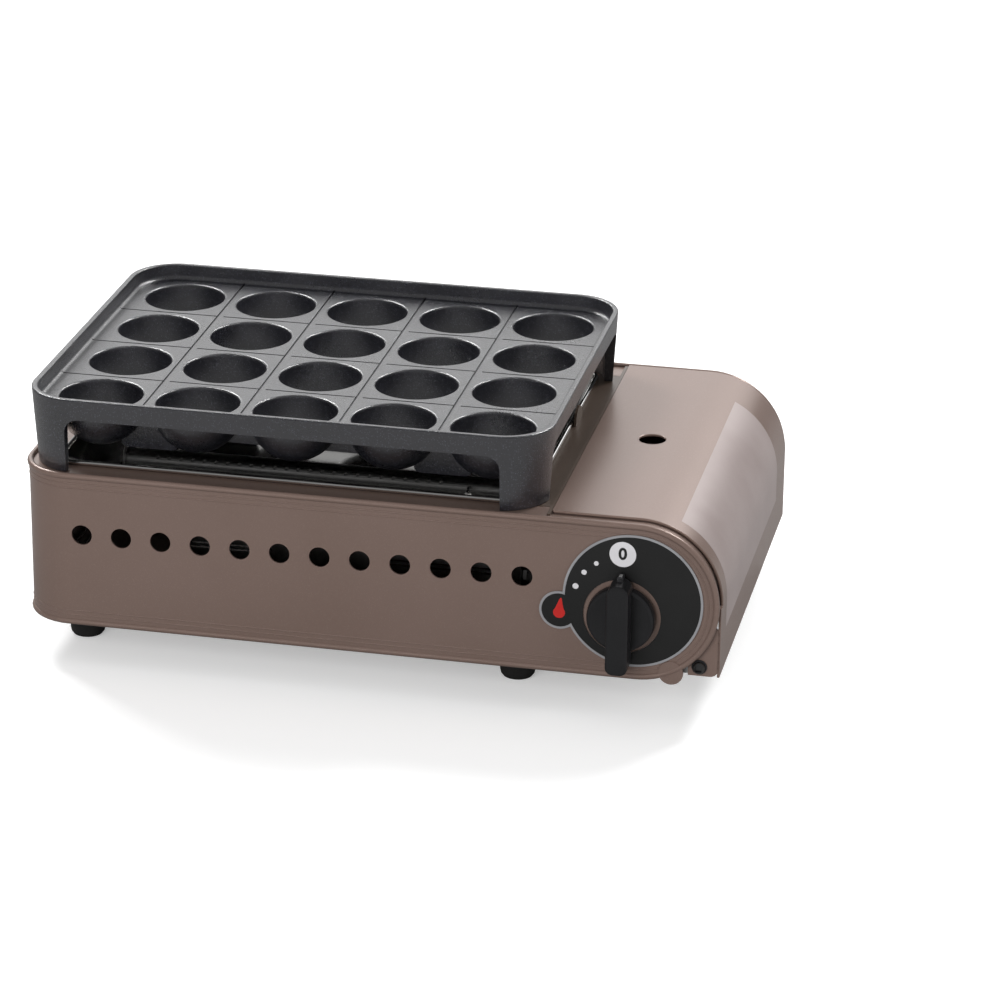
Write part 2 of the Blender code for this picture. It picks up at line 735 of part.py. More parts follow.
def foot(name, x, y):
    """A domed rubber foot with a stem pushed through its pad and a head that holds it there."""
    stem_top = FOOT_BODY_HEIGHT + 2 * GAP + SHEET
    profile = [
        (0, stem_top + STEM_HEAD),
        (STEM_RADIUS * STEM_TIP_SHARE, stem_top + STEM_HEAD),
        (STEM_HEAD, stem_top + STEM_HEAD / 2),
        (STEM_HEAD, stem_top),
        (STEM_RADIUS, stem_top),
        (STEM_RADIUS, FOOT_BODY_HEIGHT),
        (FOOT_RADIUS, FOOT_BODY_HEIGHT),
    ]
    dome = FOOT_RADIUS * FOOT_DOME_SHARE
    profile += [
        (FOOT_RADIUS - dome + across, down)
        for across, down in arc((0, dome), dome, 0, -90, CORNER_STEPS - 2)
    ]
    profile.append((0, 0))
    return turned(name, profile, (x, y, 0), (0, 0, 1), ROUND_SIDES)


def screw(name, place, axis, length):
    """A pan-head screw: place is under the head, axis points out of the head."""
    profile = [
        (0, SCREW_HEAD_HEIGHT),
        (SCREW_HEAD * SCREW_CROWN_SHARE, SCREW_HEAD_HEIGHT),
        (SCREW_HEAD, SCREW_HEAD_HEIGHT / 2),
        (SCREW_HEAD, 0),
        (SCREW_SHANK, 0),
        (SCREW_SHANK, -length),
        (0, -length),
    ]
    return turned(name, profile, place, axis)


def base_screws():
    """Where each piece that stands on the base is screwed down from below."""
    wall = WALL_X - WALL_FOOT / 2
    stand = STAND_LEFT + STAND_FOOT
    yield "wall_screw_front", wall, INSIDE_FRONT + WALL_SCREW_INSET
    yield "wall_screw_rear", wall, INSIDE_REAR - WALL_SCREW_INSET
    yield "stand_screw_front", stand, STAND_FRONT + STAND_FOOT / 2 + STAND_SHEET
    yield "stand_screw_rear", stand, STAND_REAR - STAND_FOOT / 2 - STAND_SHEET
    yield "cradle_screw_front", CANISTER_X, CRADLE_FRONT + CRADLE_SCREW_INSET
    yield "cradle_screw_rear", CANISTER_X, CRADLE_REAR - CRADLE_SCREW_INSET
    yield "valve_bracket_screw", CANISTER_X, BRACKET_FRONT + BRACKET_FOOT / 2
    yield "hinge_arm_screw_front", ARM_FOOT_X, HINGE_ARM_FRONT + ARM_FOOT / 2
    yield "hinge_arm_screw_rear", ARM_FOOT_X, HINGE_ARM_REAR - ARM_FOOT / 2


def screw_hole(x, y):
    return rod(
        "tapped", (x, y, BASE_TOP - OVERRUN), (x, y, BASE_FLOOR + 2 * SHEET),
        SCREW_SHANK + GAP, SMALL_SIDES,
    )


def base_holes(*names):
    return [screw_hole(x, y) for name, x, y in base_screws() if name in names]


def partition_wall():
    """The wall between burner and canister: a foot on the base, a ledge and a hemmed top edge."""
    ledge_x = WALL_X - WALL_LEDGE
    outline = [
        (WALL_X - WALL_FOOT, BASE_FLOOR),
        (WALL_X + SHEET, BASE_FLOOR),
        (WALL_X + SHEET, LEDGE_BOTTOM - WALL_LIP - GAP),
        (WALL_X + HEM, LEDGE_BOTTOM - WALL_LIP),
        (WALL_X + HEM, PANEL_TOP - GAP),
        (WALL_X, PANEL_TOP - GAP),
        (WALL_X, LEDGE_TOP),
        (ledge_x, LEDGE_TOP),
        (ledge_x, LEDGE_BOTTOM - WALL_LIP),
        (ledge_x + SHEET, LEDGE_BOTTOM - WALL_LIP),
        (ledge_x + SHEET, LEDGE_BOTTOM),
        (WALL_X, LEDGE_BOTTOM),
        (WALL_X, BASE_FLOOR + SHEET),
        (WALL_X - WALL_FOOT, BASE_FLOOR + SHEET),
    ]
    wall = prism("partition_wall", outline, INSIDE_FRONT, INSIDE_REAR, "XZ")
    tab = [(RISER_Y - WALL_TAB_RADIUS, LEDGE_BOTTOM + HALF_SHEET)]
    tab += arc((RISER_Y, LEDGE_TOP + GAP), WALL_TAB_RADIUS, 180, 0, CORNER_STEPS * 2)
    tab += [(RISER_Y + WALL_TAB_RADIUS, LEDGE_BOTTOM + HALF_SHEET)]
    wall = join(wall, prism("tab", tab, PAN_RIGHT + GAP, PAN_RIGHT + GAP + SHEET, "YZ"))
    slot = (LEDGE_BOTTOM - WALL_LIP - GAP, LEDGE_TOP + GAP)
    tools = [
        box("slot", ledge_x - OVERRUN, WALL_X + HEM + OVERRUN, INSIDE_FRONT - OVERRUN,
            SKIN_FRONT + LEDGE_WIDTH + GAP, *slot),
        box("slot", ledge_x - OVERRUN, WALL_X + HEM + OVERRUN, SKIN_REAR - LEDGE_WIDTH - GAP,
            INSIDE_REAR + OVERRUN, *slot),
        rod("jet_hole", (WALL_X - OVERRUN, JET_Y, MIXER_Z), (WALL_X + OVERRUN, JET_Y, MIXER_Z),
            JET_RADIUS + GAP, SMALL_SIDES),
        rod("lead_hole", (WALL_X - OVERRUN, LEAD_HOLE_Y, LEAD_HOLE_Z),
            (WALL_X + OVERRUN, LEAD_HOLE_Y, LEAD_HOLE_Z), LEAD_RADIUS * 2, SMALL_SIDES),
    ]
    return cut(wall, *tools, *base_holes("wall_screw_front", "wall_screw_rear"))


def cradle():
    """The sheet with two long ridges that carries the canister."""
    ridge = CRADLE_RIDGE
    path = [(-CRADLE_HALF_GAUGE - ridge, 0), (-CRADLE_HALF_GAUGE, ridge), (-CRADLE_HALF_GAUGE + ridge, 0)]
    path += [(-across, up) for across, up in path[::-1]]
    low = BASE_FLOOR
    outline = [(CANISTER_X + across, low + CRADLE_SHEET + up) for across, up in path]
    outline += [(CANISTER_X + across, low + up) for across, up in path[::-1]]
    sheet = prism("canister_cradle", outline, CRADLE_FRONT, CRADLE_REAR, "XZ")
    return cut(sheet, *base_holes("cradle_screw_front", "cradle_screw_rear"))


def hinge_arm(name, screw_name, face, inward):
    """A plate beside the cover's ear, with a boss on the hinge axis and a foot on the base."""
    foot_x0 = ARM_FOOT_X - ARM_FOOT_LENGTH / 2
    foot_x1 = ARM_FOOT_X + ARM_FOOT_LENGTH / 2
    top = BASE_FLOOR + ARM_HEIGHT
    low = BASE_FLOOR + HALF_SHEET / 2
    outline = [(foot_x0 + GAP, low), (foot_x1 - GAP, low)]
    outline += arc((HINGE_X, HINGE_Z), ARM_BOSS, -115, 100, CORNER_STEPS * 2)
    outline += [(foot_x1, top), (foot_x0 + GAP, top)]
    back = face + inward * SHEET
    plate = prism(name, outline, min(face, back), max(face, back), "XZ")
    end = face + inward * ARM_FOOT
    start = face + inward * HALF_SHEET
    base = box("foot", foot_x0, foot_x1, min(start, end), max(start, end), BASE_FLOOR, BASE_FLOOR + SHEET)
    pin = rod(
        "pin", (HINGE_X, face - inward * OVERRUN, HINGE_Z), (HINGE_X, face + inward * OVERRUN, HINGE_Z),
        SCREW_SHANK + GAP, SMALL_SIDES,
    )
    return cut(join(plate, base), pin, *base_holes(screw_name))


def hinge_bush(name, ear_face, inward):
    """A flanged sleeve that the cover's ear turns on."""
    flange = PIN_BUSH_FLANGE
    seat = ear_face - inward * GAP
    profile = [
        (SCREW_SHANK + GAP, flange),
        (PIN_BUSH_RADIUS, flange),
        (PIN_BUSH_RADIUS, 0),
        (PIN_BUSH_RADIUS - flange, 0),
        (PIN_BUSH_RADIUS - flange, -SHEET - GAP),
        (SCREW_SHANK + GAP, -SHEET - GAP),
        (SCREW_SHANK + GAP, flange),
    ]
    return turned(name, profile, (HINGE_X, seat, HINGE_Z), (0, -inward, 0), ROUND_SIDES)


def hinge_screw(name, ear_face, inward):
    seat = ear_face - inward * (2 * GAP + PIN_BUSH_FLANGE)
    length = 3 * GAP + PIN_BUSH_FLANGE + 2 * SHEET + HALF_SHEET
    return screw(name, (HINGE_X, seat, HINGE_Z), (0, -inward, 0), length)


def container_cover():
    """The hinged cover of the canister bay: flat top, quarter round, straight side and two ears."""
    outer = [(COVER_LEFT, PANEL_TOP)] + arc((END_X, COVER_Z), COVER_RADIUS, 90, 0, END_STEPS // 2)
    outer += [(RIGHT, COVER_BOTTOM), (RIGHT - SHEET, COVER_BOTTOM)]
    inner = arc((END_X, COVER_Z), COVER_RADIUS - SHEET, 0, 90, END_STEPS // 2)
    inner += [(COVER_LEFT, PANEL_TOP - SHEET)]
    cover = prism("container_cover", outer + inner, EAR_FRONT, EAR_REAR, "XZ")
    step = box(
        "step", COVER_LEFT - OVERRUN, RIGHT + OVERRUN, EAR_FRONT - OVERRUN, COVER_FRONT,
        COVER_Z, PANEL_TOP + OVERRUN,
    )
    sight_x = COVER_LEFT + SIGHT_HOLE_FROM_LEFT
    sight_y = COVER_FRONT + SIGHT_HOLE_FROM_FRONT
    sight = rod(
        "sight", (sight_x, sight_y, PANEL_TOP - OVERRUN), (sight_x, sight_y, PANEL_TOP + OVERRUN),
        SIGHT_HOLE_RADIUS,
    )
    cover = cut(cover, step, sight)
    return join(cover, cover_ear(EAR_FRONT, 1), cover_ear(EAR_REAR, -1))


def cover_ear(face, inward):
    outside = face + inward * GAP / 2
    back = face + inward * SHEET
    outline = [
        (HINGE_X - EAR_REACH, COVER_BOTTOM + GAP / 2),
        (RIGHT - HALF_SHEET, COVER_BOTTOM + GAP / 2),
        (RIGHT - HALF_SHEET, END_Z - EAR_TOP_DROP),
        (HINGE_X - EAR_REACH, END_Z - EAR_TOP_DROP),
    ]
    ear = prism("ear", outline, min(outside, back), max(outside, back), "XZ")
    curve = rod(
        "curve", (END_X, face - OVERRUN, END_Z), (END_X, face + OVERRUN, END_Z),
        FLANGE_RADIUS + 2 * GAP, END_STEPS * 2,
    )
    pin = rod(
        "pin", (HINGE_X, face - OVERRUN, HINGE_Z), (HINGE_X, face + OVERRUN, HINGE_Z),
        PIN_BUSH_RADIUS - PIN_BUSH_FLANGE + GAP, ROUND_SIDES,
    )
    return cut(ear, curve, pin)


def plate_outline(inset):
    """The plate seen from above; the corners keep their centres as the outline shrinks."""
    radius = PLATE_CORNER - inset
    half_x = PLATE_WIDTH / 2 - inset
    half_y = PLATE_DEPTH / 2 - inset
    return rounded(CHAMBER_X - half_x, CHAMBER_X + half_x, MIDDLE_Y - half_y, MIDDLE_Y + half_y, radius)


def pit_places():
    for row in range(PIT_ROWS):
        for column in range(PIT_COLUMNS):
            x = CHAMBER_X + (column - (PIT_COLUMNS - 1) / 2) * PITCH_ACROSS
            y = MIDDLE_Y + (row - (PIT_ROWS - 1) / 2) * PITCH_BACK
            yield row, column, x, y


def takoyaki_plate():
    """The cast plate: a low-rimmed tray with round pits, standing on four corner legs."""
    foot = PLATE_FOOT
    plate = stacked("takoyaki_plate", [(plate_outline(PLATE_DRAFT), foot), (plate_outline(0), PLATE_TOP)])
    tray = prism("tray", plate_outline(RIM_THICKNESS), PLATE_FLOOR, PLATE_TOP + OVERRUN, "XY")
    under = stacked(
        "under",
        [
            (plate_outline(PLATE_DRAFT + LEG_THICKNESS), foot - OVERRUN),
            (plate_outline(LEG_THICKNESS), PLATE_FLOOR - FLOOR_THICKNESS),
        ],
    )
    plate = cut(plate, under, *leg_arches())
    bowls = []
    pits = []
    underside = PLATE_FLOOR - FLOOR_THICKNESS / 2
    outer = PIT_RADIUS + PIT_WALL
    mouth = PIT_RADIUS + PIT_CHAMFER
    for _, _, x, y in pit_places():
        round_part = arc((0, 0), outer, 0, -90, PIT_RINGS)[:-1]
        profile = [(0, underside - PIT_CENTRE_Z), (outer, underside - PIT_CENTRE_Z)] + round_part
        bowls.append(turned("bowl", profile + [(0, -outer)], (x, y, PIT_CENTRE_Z), (0, 0, 1), PIT_SIDES))
        top = PIT_DROP + OVERRUN
        round_part = arc((0, 0), PIT_RADIUS, 0, -90, PIT_RINGS)[:-1]
        profile = [(0, top), (mouth + OVERRUN, top), (PIT_RADIUS, PIT_DROP - PIT_CHAMFER)] + round_part
        pits.append(
            turned("pit", profile + [(0, -PIT_RADIUS)], (x, y, PIT_CENTRE_Z), (0, 0, 1), PIT_SIDES)
        )
    plate = join(plate, *bowls, *plate_webs())
    return cut(plate, tray, *pits, *floor_grooves())


def leg_arches():
    """The four wide openings between the legs, with round upper corners."""
    top = PLATE_TOP - SKIRT_HEIGHT
    low = PLATE_FOOT - 2 * ARCH_RADIUS
    half_x = PLATE_WIDTH / 2 - PLATE_DRAFT - LEG_WIDTH
    half_y = PLATE_DEPTH / 2 - PLATE_DRAFT - LEG_WIDTH
    y0 = MIDDLE_Y - PLATE_DEPTH / 2 - OVERRUN
    y1 = MIDDLE_Y + PLATE_DEPTH / 2 + OVERRUN
    x0 = CHAMBER_X - PLATE_WIDTH / 2 - OVERRUN
    x1 = CHAMBER_X + PLATE_WIDTH / 2 + OVERRUN
    along = rounded(CHAMBER_X - half_x, CHAMBER_X + half_x, low, top, ARCH_RADIUS, CORNER_STEPS - 2)
    across = rounded(MIDDLE_Y - half_y, MIDDLE_Y + half_y, low, top, ARCH_RADIUS, CORNER_STEPS - 2)
    return [prism("arch", along, y0, y1, "XZ"), prism("arch", across, x0, x1, "YZ")]


def plate_webs():
    """Stiffening webs under the front and the rear row, deep near the legs and shallow between."""
    top = PLATE_FLOOR - FLOOR_THICKNESS / 2
    webs = []
    for row, column, x, y in pit_places():
        if column == PIT_COLUMNS - 1 or 0 < row < PIT_ROWS - 1:
            continue
        depth = DEEP_WEB if column in (0, PIT_COLUMNS - 2) else SHALLOW_WEB
        low = PLATE_FLOOR - FLOOR_THICKNESS - depth
        webs.append(
            box("web", x + PIT_RADIUS / 2, x + PITCH_ACROSS - PIT_RADIUS / 2,
                y - WEB_THICKNESS / 2, y + WEB_THICKNESS / 2, low, top)
        )
    return webs


def floor_grooves():
    """The lines between the cells; the cross lines start a little to the right of each long one."""
    low = PLATE_FLOOR - GROOVE_DEPTH
    high = PLATE_FLOOR + OVERRUN
    half = GROOVE_WIDTH / 2
    inset_x = PLATE_WIDTH / 2 - RIM_THICKNESS - GAP
    inset_y = PLATE_DEPTH / 2 - RIM_THICKNESS - GAP
    lines = [CHAMBER_X + (column - PIT_COLUMNS / 2) * PITCH_ACROSS for column in range(1, PIT_COLUMNS)]
    tools = [
        box("groove", x - half, x + half, MIDDLE_Y - inset_y, MIDDLE_Y + inset_y, low, high)
        for x in lines
    ]
    starts = [CHAMBER_X - inset_x] + [x + 3 * GROOVE_WIDTH for x in lines]
    ends = lines + [CHAMBER_X + inset_x]
    for row in range(1, PIT_ROWS):
        y = MIDDLE_Y + (row - PIT_ROWS / 2) * PITCH_BACK
        tools += [box("groove", x0, x1, y - half, y + half, low, high) for x0, x1 in zip(starts, ends)]
    return tools


def pan_outline(inset, slope_share, radius):
    slope = slope_share * PAN_SLOPE
    end = slope_share * PAN_END_SLOPE
    return rounded(
        PAN_LEFT + inset + slope, PAN_RIGHT - inset - end, PAN_FRONT + inset + slope,
        PAN_REAR - inset - slope, radius,
    )


def drip_pan():
    """The pressed drip pan: a rolled lip on the ledge, sloping sides and a flat floor."""
    seat = PAN_LIP_SEAT + GAP
    wall = PAN_SHEET + GAP
    outer = stacked(
        "drip_pan",
        [
            (pan_outline(seat, 1, PAN_FLOOR_CORNER), PAN_FLOOR - PAN_SHEET),
            (pan_outline(seat, 0, PAN_CORNER - seat), PAN_LIP_Z),
        ],
    )
    inner = stacked(
        "inner",
        [
            (pan_outline(seat + wall, 1, PAN_FLOOR_CORNER), PAN_FLOOR),
            (pan_outline(seat + wall, 0, PAN_CORNER - seat), PAN_LIP_Z + PAN_SHEET),
        ],
    )
    lip_line = pan_outline(PAN_LIP_RADIUS, 0, PAN_CORNER - PAN_LIP_RADIUS)
    lip = swept("lip", [(x, y, PAN_LIP_Z) for x, y in lip_line], PAN_LIP_RADIUS, cyclic=True)
    pan = join(cut(outer, inner), lip)
    return cut(pan, *floor_holes())


def floor_holes():
    """The holes that the pan's floor and the stand's top share."""
    low = STAND_TOP - OVERRUN
    high = PAN_FLOOR + OVERRUN
    screw_x = ELECTRODE_X + SUPPORT_WIDTH
    return [
        rod("riser_hole", (CROSS_X, RISER_Y, low), (CROSS_X, RISER_Y, high), RISER_RADIUS + GAP),
        rod("spark_hole", (ELECTRODE_X, ELECTRODE_Y, low), (ELECTRODE_X, ELECTRODE_Y, high),
            ELECTRODE_RADIUS + GAP, SMALL_SIDES),
        rod("screw_hole", (screw_x, ELECTRODE_Y, low), (screw_x, ELECTRODE_Y, high),
            SCREW_SHANK + GAP, SMALL_SIDES),
    ]


def burner_stand():
    """The bent sheet under the pan, with louvre slots in its front and rear walls."""
    sheet = STAND_SHEET
    outline = [
        (STAND_FRONT, BASE_FLOOR),
        (STAND_FRONT + STAND_FOOT + sheet, BASE_FLOOR),
        (STAND_FRONT + STAND_FOOT + sheet, BASE_FLOOR + sheet),
        (STAND_FRONT + sheet, BASE_FLOOR + sheet),
        (STAND_FRONT + sheet, STAND_TOP - sheet),
        (STAND_REAR - sheet, STAND_TOP - sheet),
        (STAND_REAR - sheet, BASE_FLOOR + sheet),
        (STAND_REAR - STAND_FOOT - sheet, BASE_FLOOR + sheet),
        (STAND_REAR - STAND_FOOT - sheet, BASE_FLOOR),
        (STAND_REAR, BASE_FLOOR),
        (STAND_REAR, STAND_TOP),
        (STAND_FRONT, STAND_TOP),
    ]
    stand = prism("burner_stand", outline, STAND_LEFT, STAND_RIGHT, "YZ")
    middle = VENT_Z - SLOT_DROP
    slots = []
    for start, end in SLOT_GROUPS:
        for z in (middle - SLOT_SPACING / 2, middle + SLOT_SPACING / 2):
            slots.append(
                box("slot", STAND_LEFT + start, STAND_LEFT + end, STAND_FRONT - OVERRUN,
                    STAND_REAR + OVERRUN, z - SLOT_HEIGHT / 2, z + SLOT_HEIGHT / 2)
            )
    return cut(stand, *slots, *floor_holes(), *base_holes("stand_screw_front", "stand_screw_rear"))


def burner():
    """Two long port tubes and a cross tube pressed from two halves, with a riser below."""
    ends = BURNER_CAP
    tubes = []
    seams = []
    for y in (BURNER_FRONT, BURNER_REAR):
        tubes.append(rod("tube", (BURNER_LEFT, y, BURNER_Z), (BURNER_RIGHT, y, BURNER_Z), BURNER_RADIUS))
        for x0, x1 in ((BURNER_LEFT, BURNER_LEFT + ends), (BURNER_RIGHT - ends, BURNER_RIGHT)):
            tubes.append(rod("cap", (x0 - GAP, y, BURNER_Z), (x1 + GAP, y, BURNER_Z), BURNER_CAP_RADIUS))
        seams.append(
            box("seam", BURNER_LEFT, BURNER_RIGHT, y - BURNER_RADIUS - BURNER_SEAM,
                y + BURNER_RADIUS + BURNER_SEAM, BURNER_Z - SEAM_THICKNESS / 2,
                BURNER_Z + SEAM_THICKNESS / 2)
        )
    seams.append(
        box("seam", CROSS_X - BURNER_RADIUS - BURNER_SEAM, CROSS_X + BURNER_RADIUS + BURNER_SEAM,
            BURNER_FRONT, BURNER_REAR, BURNER_Z - SEAM_THICKNESS / 2 + GAP / 2,
            BURNER_Z + SEAM_THICKNESS / 2 - GAP / 2)
    )
    cross = rod("burner", (CROSS_X, BURNER_FRONT + GAP, BURNER_Z), (CROSS_X, BURNER_REAR - GAP, BURNER_Z),
                BURNER_RADIUS - GAP)
    riser = rod("riser", (CROSS_X, RISER_Y, RISER_BOTTOM), (CROSS_X, RISER_Y, BURNER_Z), RISER_RADIUS)
    bore = rod(
        "bore", (CROSS_X, RISER_Y, RISER_BOTTOM - OVERRUN), (CROSS_X, RISER_Y, BURNER_Z),
        RISER_RADIUS - MIXER_WALL,
    )
    return cut(join(cross, *tubes, *seams, riser), bore)


def burner_support(name, x):
    """A strip on the pan's floor with a saddle under each port tube."""
    low = PAN_FLOOR + GAP
    half = SUPPORT_WIDTH / 2
    reach = BURNER_RADIUS + SADDLE_WALL
    strip = box(name, x - half, x + half, BURNER_FRONT - reach, BURNER_REAR + reach, low, low + SHEET)
    saddles = [
        box("saddle", x - half + GAP, x + half - GAP, y - reach, y + reach, low + HALF_SHEET,
            low + SADDLE_HEIGHT)
        for y in (BURNER_FRONT + GAP, BURNER_REAR - GAP)
    ]
    beds = [
        rod("bed", (x - SUPPORT_WIDTH, y, BURNER_Z), (x + SUPPORT_WIDTH, y, BURNER_Z), BURNER_RADIUS + GAP)
        for y in (BURNER_FRONT, BURNER_REAR)
    ]
    return cut(join(strip, *saddles), *beds)


def burner_clamp():
    """The bright clip over the cross tube beside the riser."""
    inner = BURNER_RADIUS + GAP
    outer = inner + CLAMP_SHEET
    low = BURNER_Z + SEAM_THICKNESS / 2 + GAP
    wing = BURNER_RADIUS + BURNER_SEAM + CLAMP_SHEET
    bend = 16
    top = arc((CROSS_X, BURNER_Z), outer, 180 - bend, bend, CORNER_STEPS * 2)
    under = arc((CROSS_X, BURNER_Z), inner, bend - 2, 182 - bend, CORNER_STEPS * 2)
    outline = [(CROSS_X - wing, low), (CROSS_X - wing, low + CLAMP_SHEET)] + top
    outline += [(CROSS_X + wing, low + CLAMP_SHEET), (CROSS_X + wing, low)] + under
    y = RISER_Y
    return prism("burner_clamp", outline, y - CLAMP_WIDTH / 2, y + CLAMP_WIDTH / 2, "XZ")


def smooth_path(points, steps):
    """A smooth line through a list of places."""
    ends = [points[0]] + points + [points[-1]]
    line = []
    for before, start, end, after in zip(ends, ends[1:], ends[2:], ends[3:]):
        for step in range(steps):
            t = step / steps
            line.append(
                tuple(
                    b + (c - a) * t / 2 + (2 * a - 5 * b + 4 * c - d) * t**2 / 2
                    + (3 * b - a - 3 * c + d) * t**3 / 2
                    for a, b, c, d in zip(before, start, end, after)
                )
            )
    return line + [points[-1]]


def mixing_tube():
    """The air and gas tube: a horn at the jet, a run to the back and a bend up to the riser."""
    mouth = WALL_X - 2 * SHEET
    throat = mouth - MIXER_HORN_LENGTH
    bend = MIXER_BEND
    top = RISER_BOTTOM - GAP
    path = [(throat + SHEET, JET_Y, MIXER_Z)]
    corner = arc((CROSS_X + bend, JET_Y + bend), bend, 270, 180, CORNER_STEPS)
    path += [(x, y, MIXER_Z) for x, y in corner]
    rise = arc((RISER_Y - bend, MIXER_Z + bend), bend, 270, 360, CORNER_STEPS)
    path += [(CROSS_X, y, z) for y, z in rise]
    path.append((CROSS_X, RISER_Y, top))
    bore = [(throat + OVERRUN, JET_Y, MIXER_Z)] + path[1:-1] + [(CROSS_X, RISER_Y, top + OVERRUN)]
    tube = swept("mixing_tube", path, RISER_RADIUS, resolution=3)
    horn = rod("horn", (throat, JET_Y, MIXER_Z), (mouth, JET_Y, MIXER_Z), MIXER_RADIUS, ROUND_SIDES,
               MIXER_HORN_RADIUS)
    hollow = swept("hollow", bore, RISER_RADIUS - MIXER_WALL, resolution=3)
    flare = rod(
        "flare", (throat + SHEET, JET_Y, MIXER_Z), (mouth + SHEET, JET_Y, MIXER_Z),
        MIXER_RADIUS - MIXER_WALL, ROUND_SIDES, MIXER_HORN_RADIUS - MIXER_WALL / 2,
    )
    return cut(join(tube, horn), hollow, flare)


def gas_jet():
    """The brass jet: a hexagon against the wall and a nose that points into the horn."""
    face = WALL_X + SHEET + GAP
    back = face + OUTLET_LENGTH
    nose = rod("gas_jet", (WALL_X - OUTLET_LENGTH, JET_Y, MIXER_Z), (back - GAP, JET_Y, MIXER_Z), JET_RADIUS,
               SMALL_SIDES)
    hexagon = rod("hexagon", (face, JET_Y, MIXER_Z), (back, JET_Y, MIXER_Z), JET_HEX_RADIUS, 6)
    bore = rod("bore", (face + SHEET, JET_Y, MIXER_Z), (back + OVERRUN, JET_Y, MIXER_Z), PIPE_RADIUS + GAP,
               SMALL_SIDES)
    return cut(join(nose, hexagon), bore)


def jet_nut():
    x1 = WALL_X - GAP
    x0 = x1 - 2 * SHEET
    nut = rod("jet_nut", (x0, JET_Y, MIXER_Z), (x1, JET_Y, MIXER_Z), JET_HEX_RADIUS, 6)
    bore = rod("bore", (x0 - OVERRUN, JET_Y, MIXER_Z), (x1 + OVERRUN, JET_Y, MIXER_Z), JET_RADIUS + GAP,
               SMALL_SIDES)
    return cut(nut, bore)


def valve_left():
    return CANISTER_X - VALVE_RADIUS - OUTLET_LENGTH


def gas_pipe():
    """The thin pipe from the valve's outlet to the jet."""
    y = (VALVE_FRONT + VALVE_REAR) / 2
    start = WALL_X + SHEET + GAP + SHEET + GAP
    end = valve_left() + OUTLET_LENGTH / 2
    x0 = start + OUTLET_LENGTH
    x1 = valve_left() - GAP
    path = [(start, JET_Y, MIXER_Z)]
    for step in range(CORNER_STEPS * 2 + 1):
        share = step / (CORNER_STEPS * 2)
        blend = (1 - math.cos(math.pi * share)) / 2
        path.append(
            (x0 + (x1 - x0) * share, JET_Y + (y - JET_Y) * blend, MIXER_Z + (CANISTER_Z - MIXER_Z) * blend)
        )
    path.append((end, y, CANISTER_Z))
    return swept("gas_pipe", path, PIPE_RADIUS)


def valve_screws():
    yield "valve_screw_left", CANISTER_X - VALVE_SCREW_REACH, CANISTER_Z + SHEET
    yield "valve_screw_right", CANISTER_X + VALVE_SCREW_REACH, CANISTER_Z + SHEET


def valve_screw_holes():
    return [
        rod("screw_hole", (x, BRACKET_FRONT - OVERRUN, z), (x, VALVE_FRONT + VALVE_SCREW_LENGTH, z),
            SCREW_SHANK + GAP, SMALL_SIDES)
        for _, x, z in valve_screws()
    ]


def valve_block():
    """The valve that the canister plugs into: a round block with an outlet and two bores."""
    y = (VALVE_FRONT + VALVE_REAR) / 2
    valve = rod("valve_block", (CANISTER_X, VALVE_FRONT, CANISTER_Z), (CANISTER_X, VALVE_REAR, CANISTER_Z),
                VALVE_RADIUS, VALVE_SIDES)
    outlet = rod("outlet", (valve_left(), y, CANISTER_Z), (CANISTER_X, y, CANISTER_Z), NOZZLE_RADIUS,
                 SMALL_SIDES)
    bores = [
        rod("inlet", (valve_left() - OVERRUN, y, CANISTER_Z), (valve_left() + OUTLET_LENGTH, y, CANISTER_Z),
            PIPE_RADIUS + GAP, SMALL_SIDES),
        rod("nozzle", (CANISTER_X, VALVE_REAR - NOZZLE_LENGTH, CANISTER_Z),
            (CANISTER_X, VALVE_REAR + OVERRUN, CANISTER_Z), NOZZLE_RADIUS, SMALL_SIDES),
        rod("spindle_seat", (KNOB_X, VALVE_FRONT - OVERRUN, KNOB_Z),
            (KNOB_X, VALVE_FRONT + SPINDLE_SEAT + GAP, KNOB_Z), SPINDLE_RADIUS + GAP),
    ]
    return cut(join(valve, outlet), *bores, *valve_screw_holes())


def clip_screw_place():
    return KNOB_X + IGNITER_RADIUS + CLIP_TAIL / 2 + CLIP_SHEET, IGNITER_BOTTOM + IGNITER_LENGTH / 2


def valve_bracket():
    """The upright sheet that carries the valve and the igniter, with a foot on the base."""
    left = CANISTER_X - BRACKET_WIDTH / 2 - OUTLET_LENGTH
    right = left + BRACKET_WIDTH
    narrow = left + BRACKET_NARROW
    top = BASE_FLOOR + BRACKET_HEIGHT
    outline = [
        (left + GAP, BASE_FLOOR + HALF_SHEET / 2), (narrow - GAP, BASE_FLOOR + HALF_SHEET / 2),
        (narrow - GAP, HINGE_Z + ARM_HEIGHT), (right, KNOB_Z), (right, top - ARM_HEIGHT),
        (right - ARM_HEIGHT, top), (left + GAP, top),
    ]
    plate = prism("valve_bracket", outline, BRACKET_FRONT, BRACKET_FRONT + SHEET, "XZ")
    foot = box(
        "foot", left, narrow, BRACKET_FRONT + HALF_SHEET, BRACKET_FRONT + BRACKET_FOOT, BASE_FLOOR,
        BASE_FLOOR + SHEET,
    )
    clip_x, clip_z = clip_screw_place()
    holes = [
        rod("spindle_hole", (KNOB_X, BRACKET_FRONT - OVERRUN, KNOB_Z),
            (KNOB_X, BRACKET_FRONT + OVERRUN, KNOB_Z), SPINDLE_RADIUS + 2 * GAP, SMALL_SIDES),
        rod("clip_hole", (clip_x, BRACKET_FRONT - OVERRUN, clip_z),
            (clip_x, BRACKET_FRONT + OVERRUN, clip_z), SCREW_SHANK + GAP, SMALL_SIDES),
    ]
    return cut(join(plate, foot), *holes, *valve_screw_holes(), *base_holes("valve_bracket_screw"))


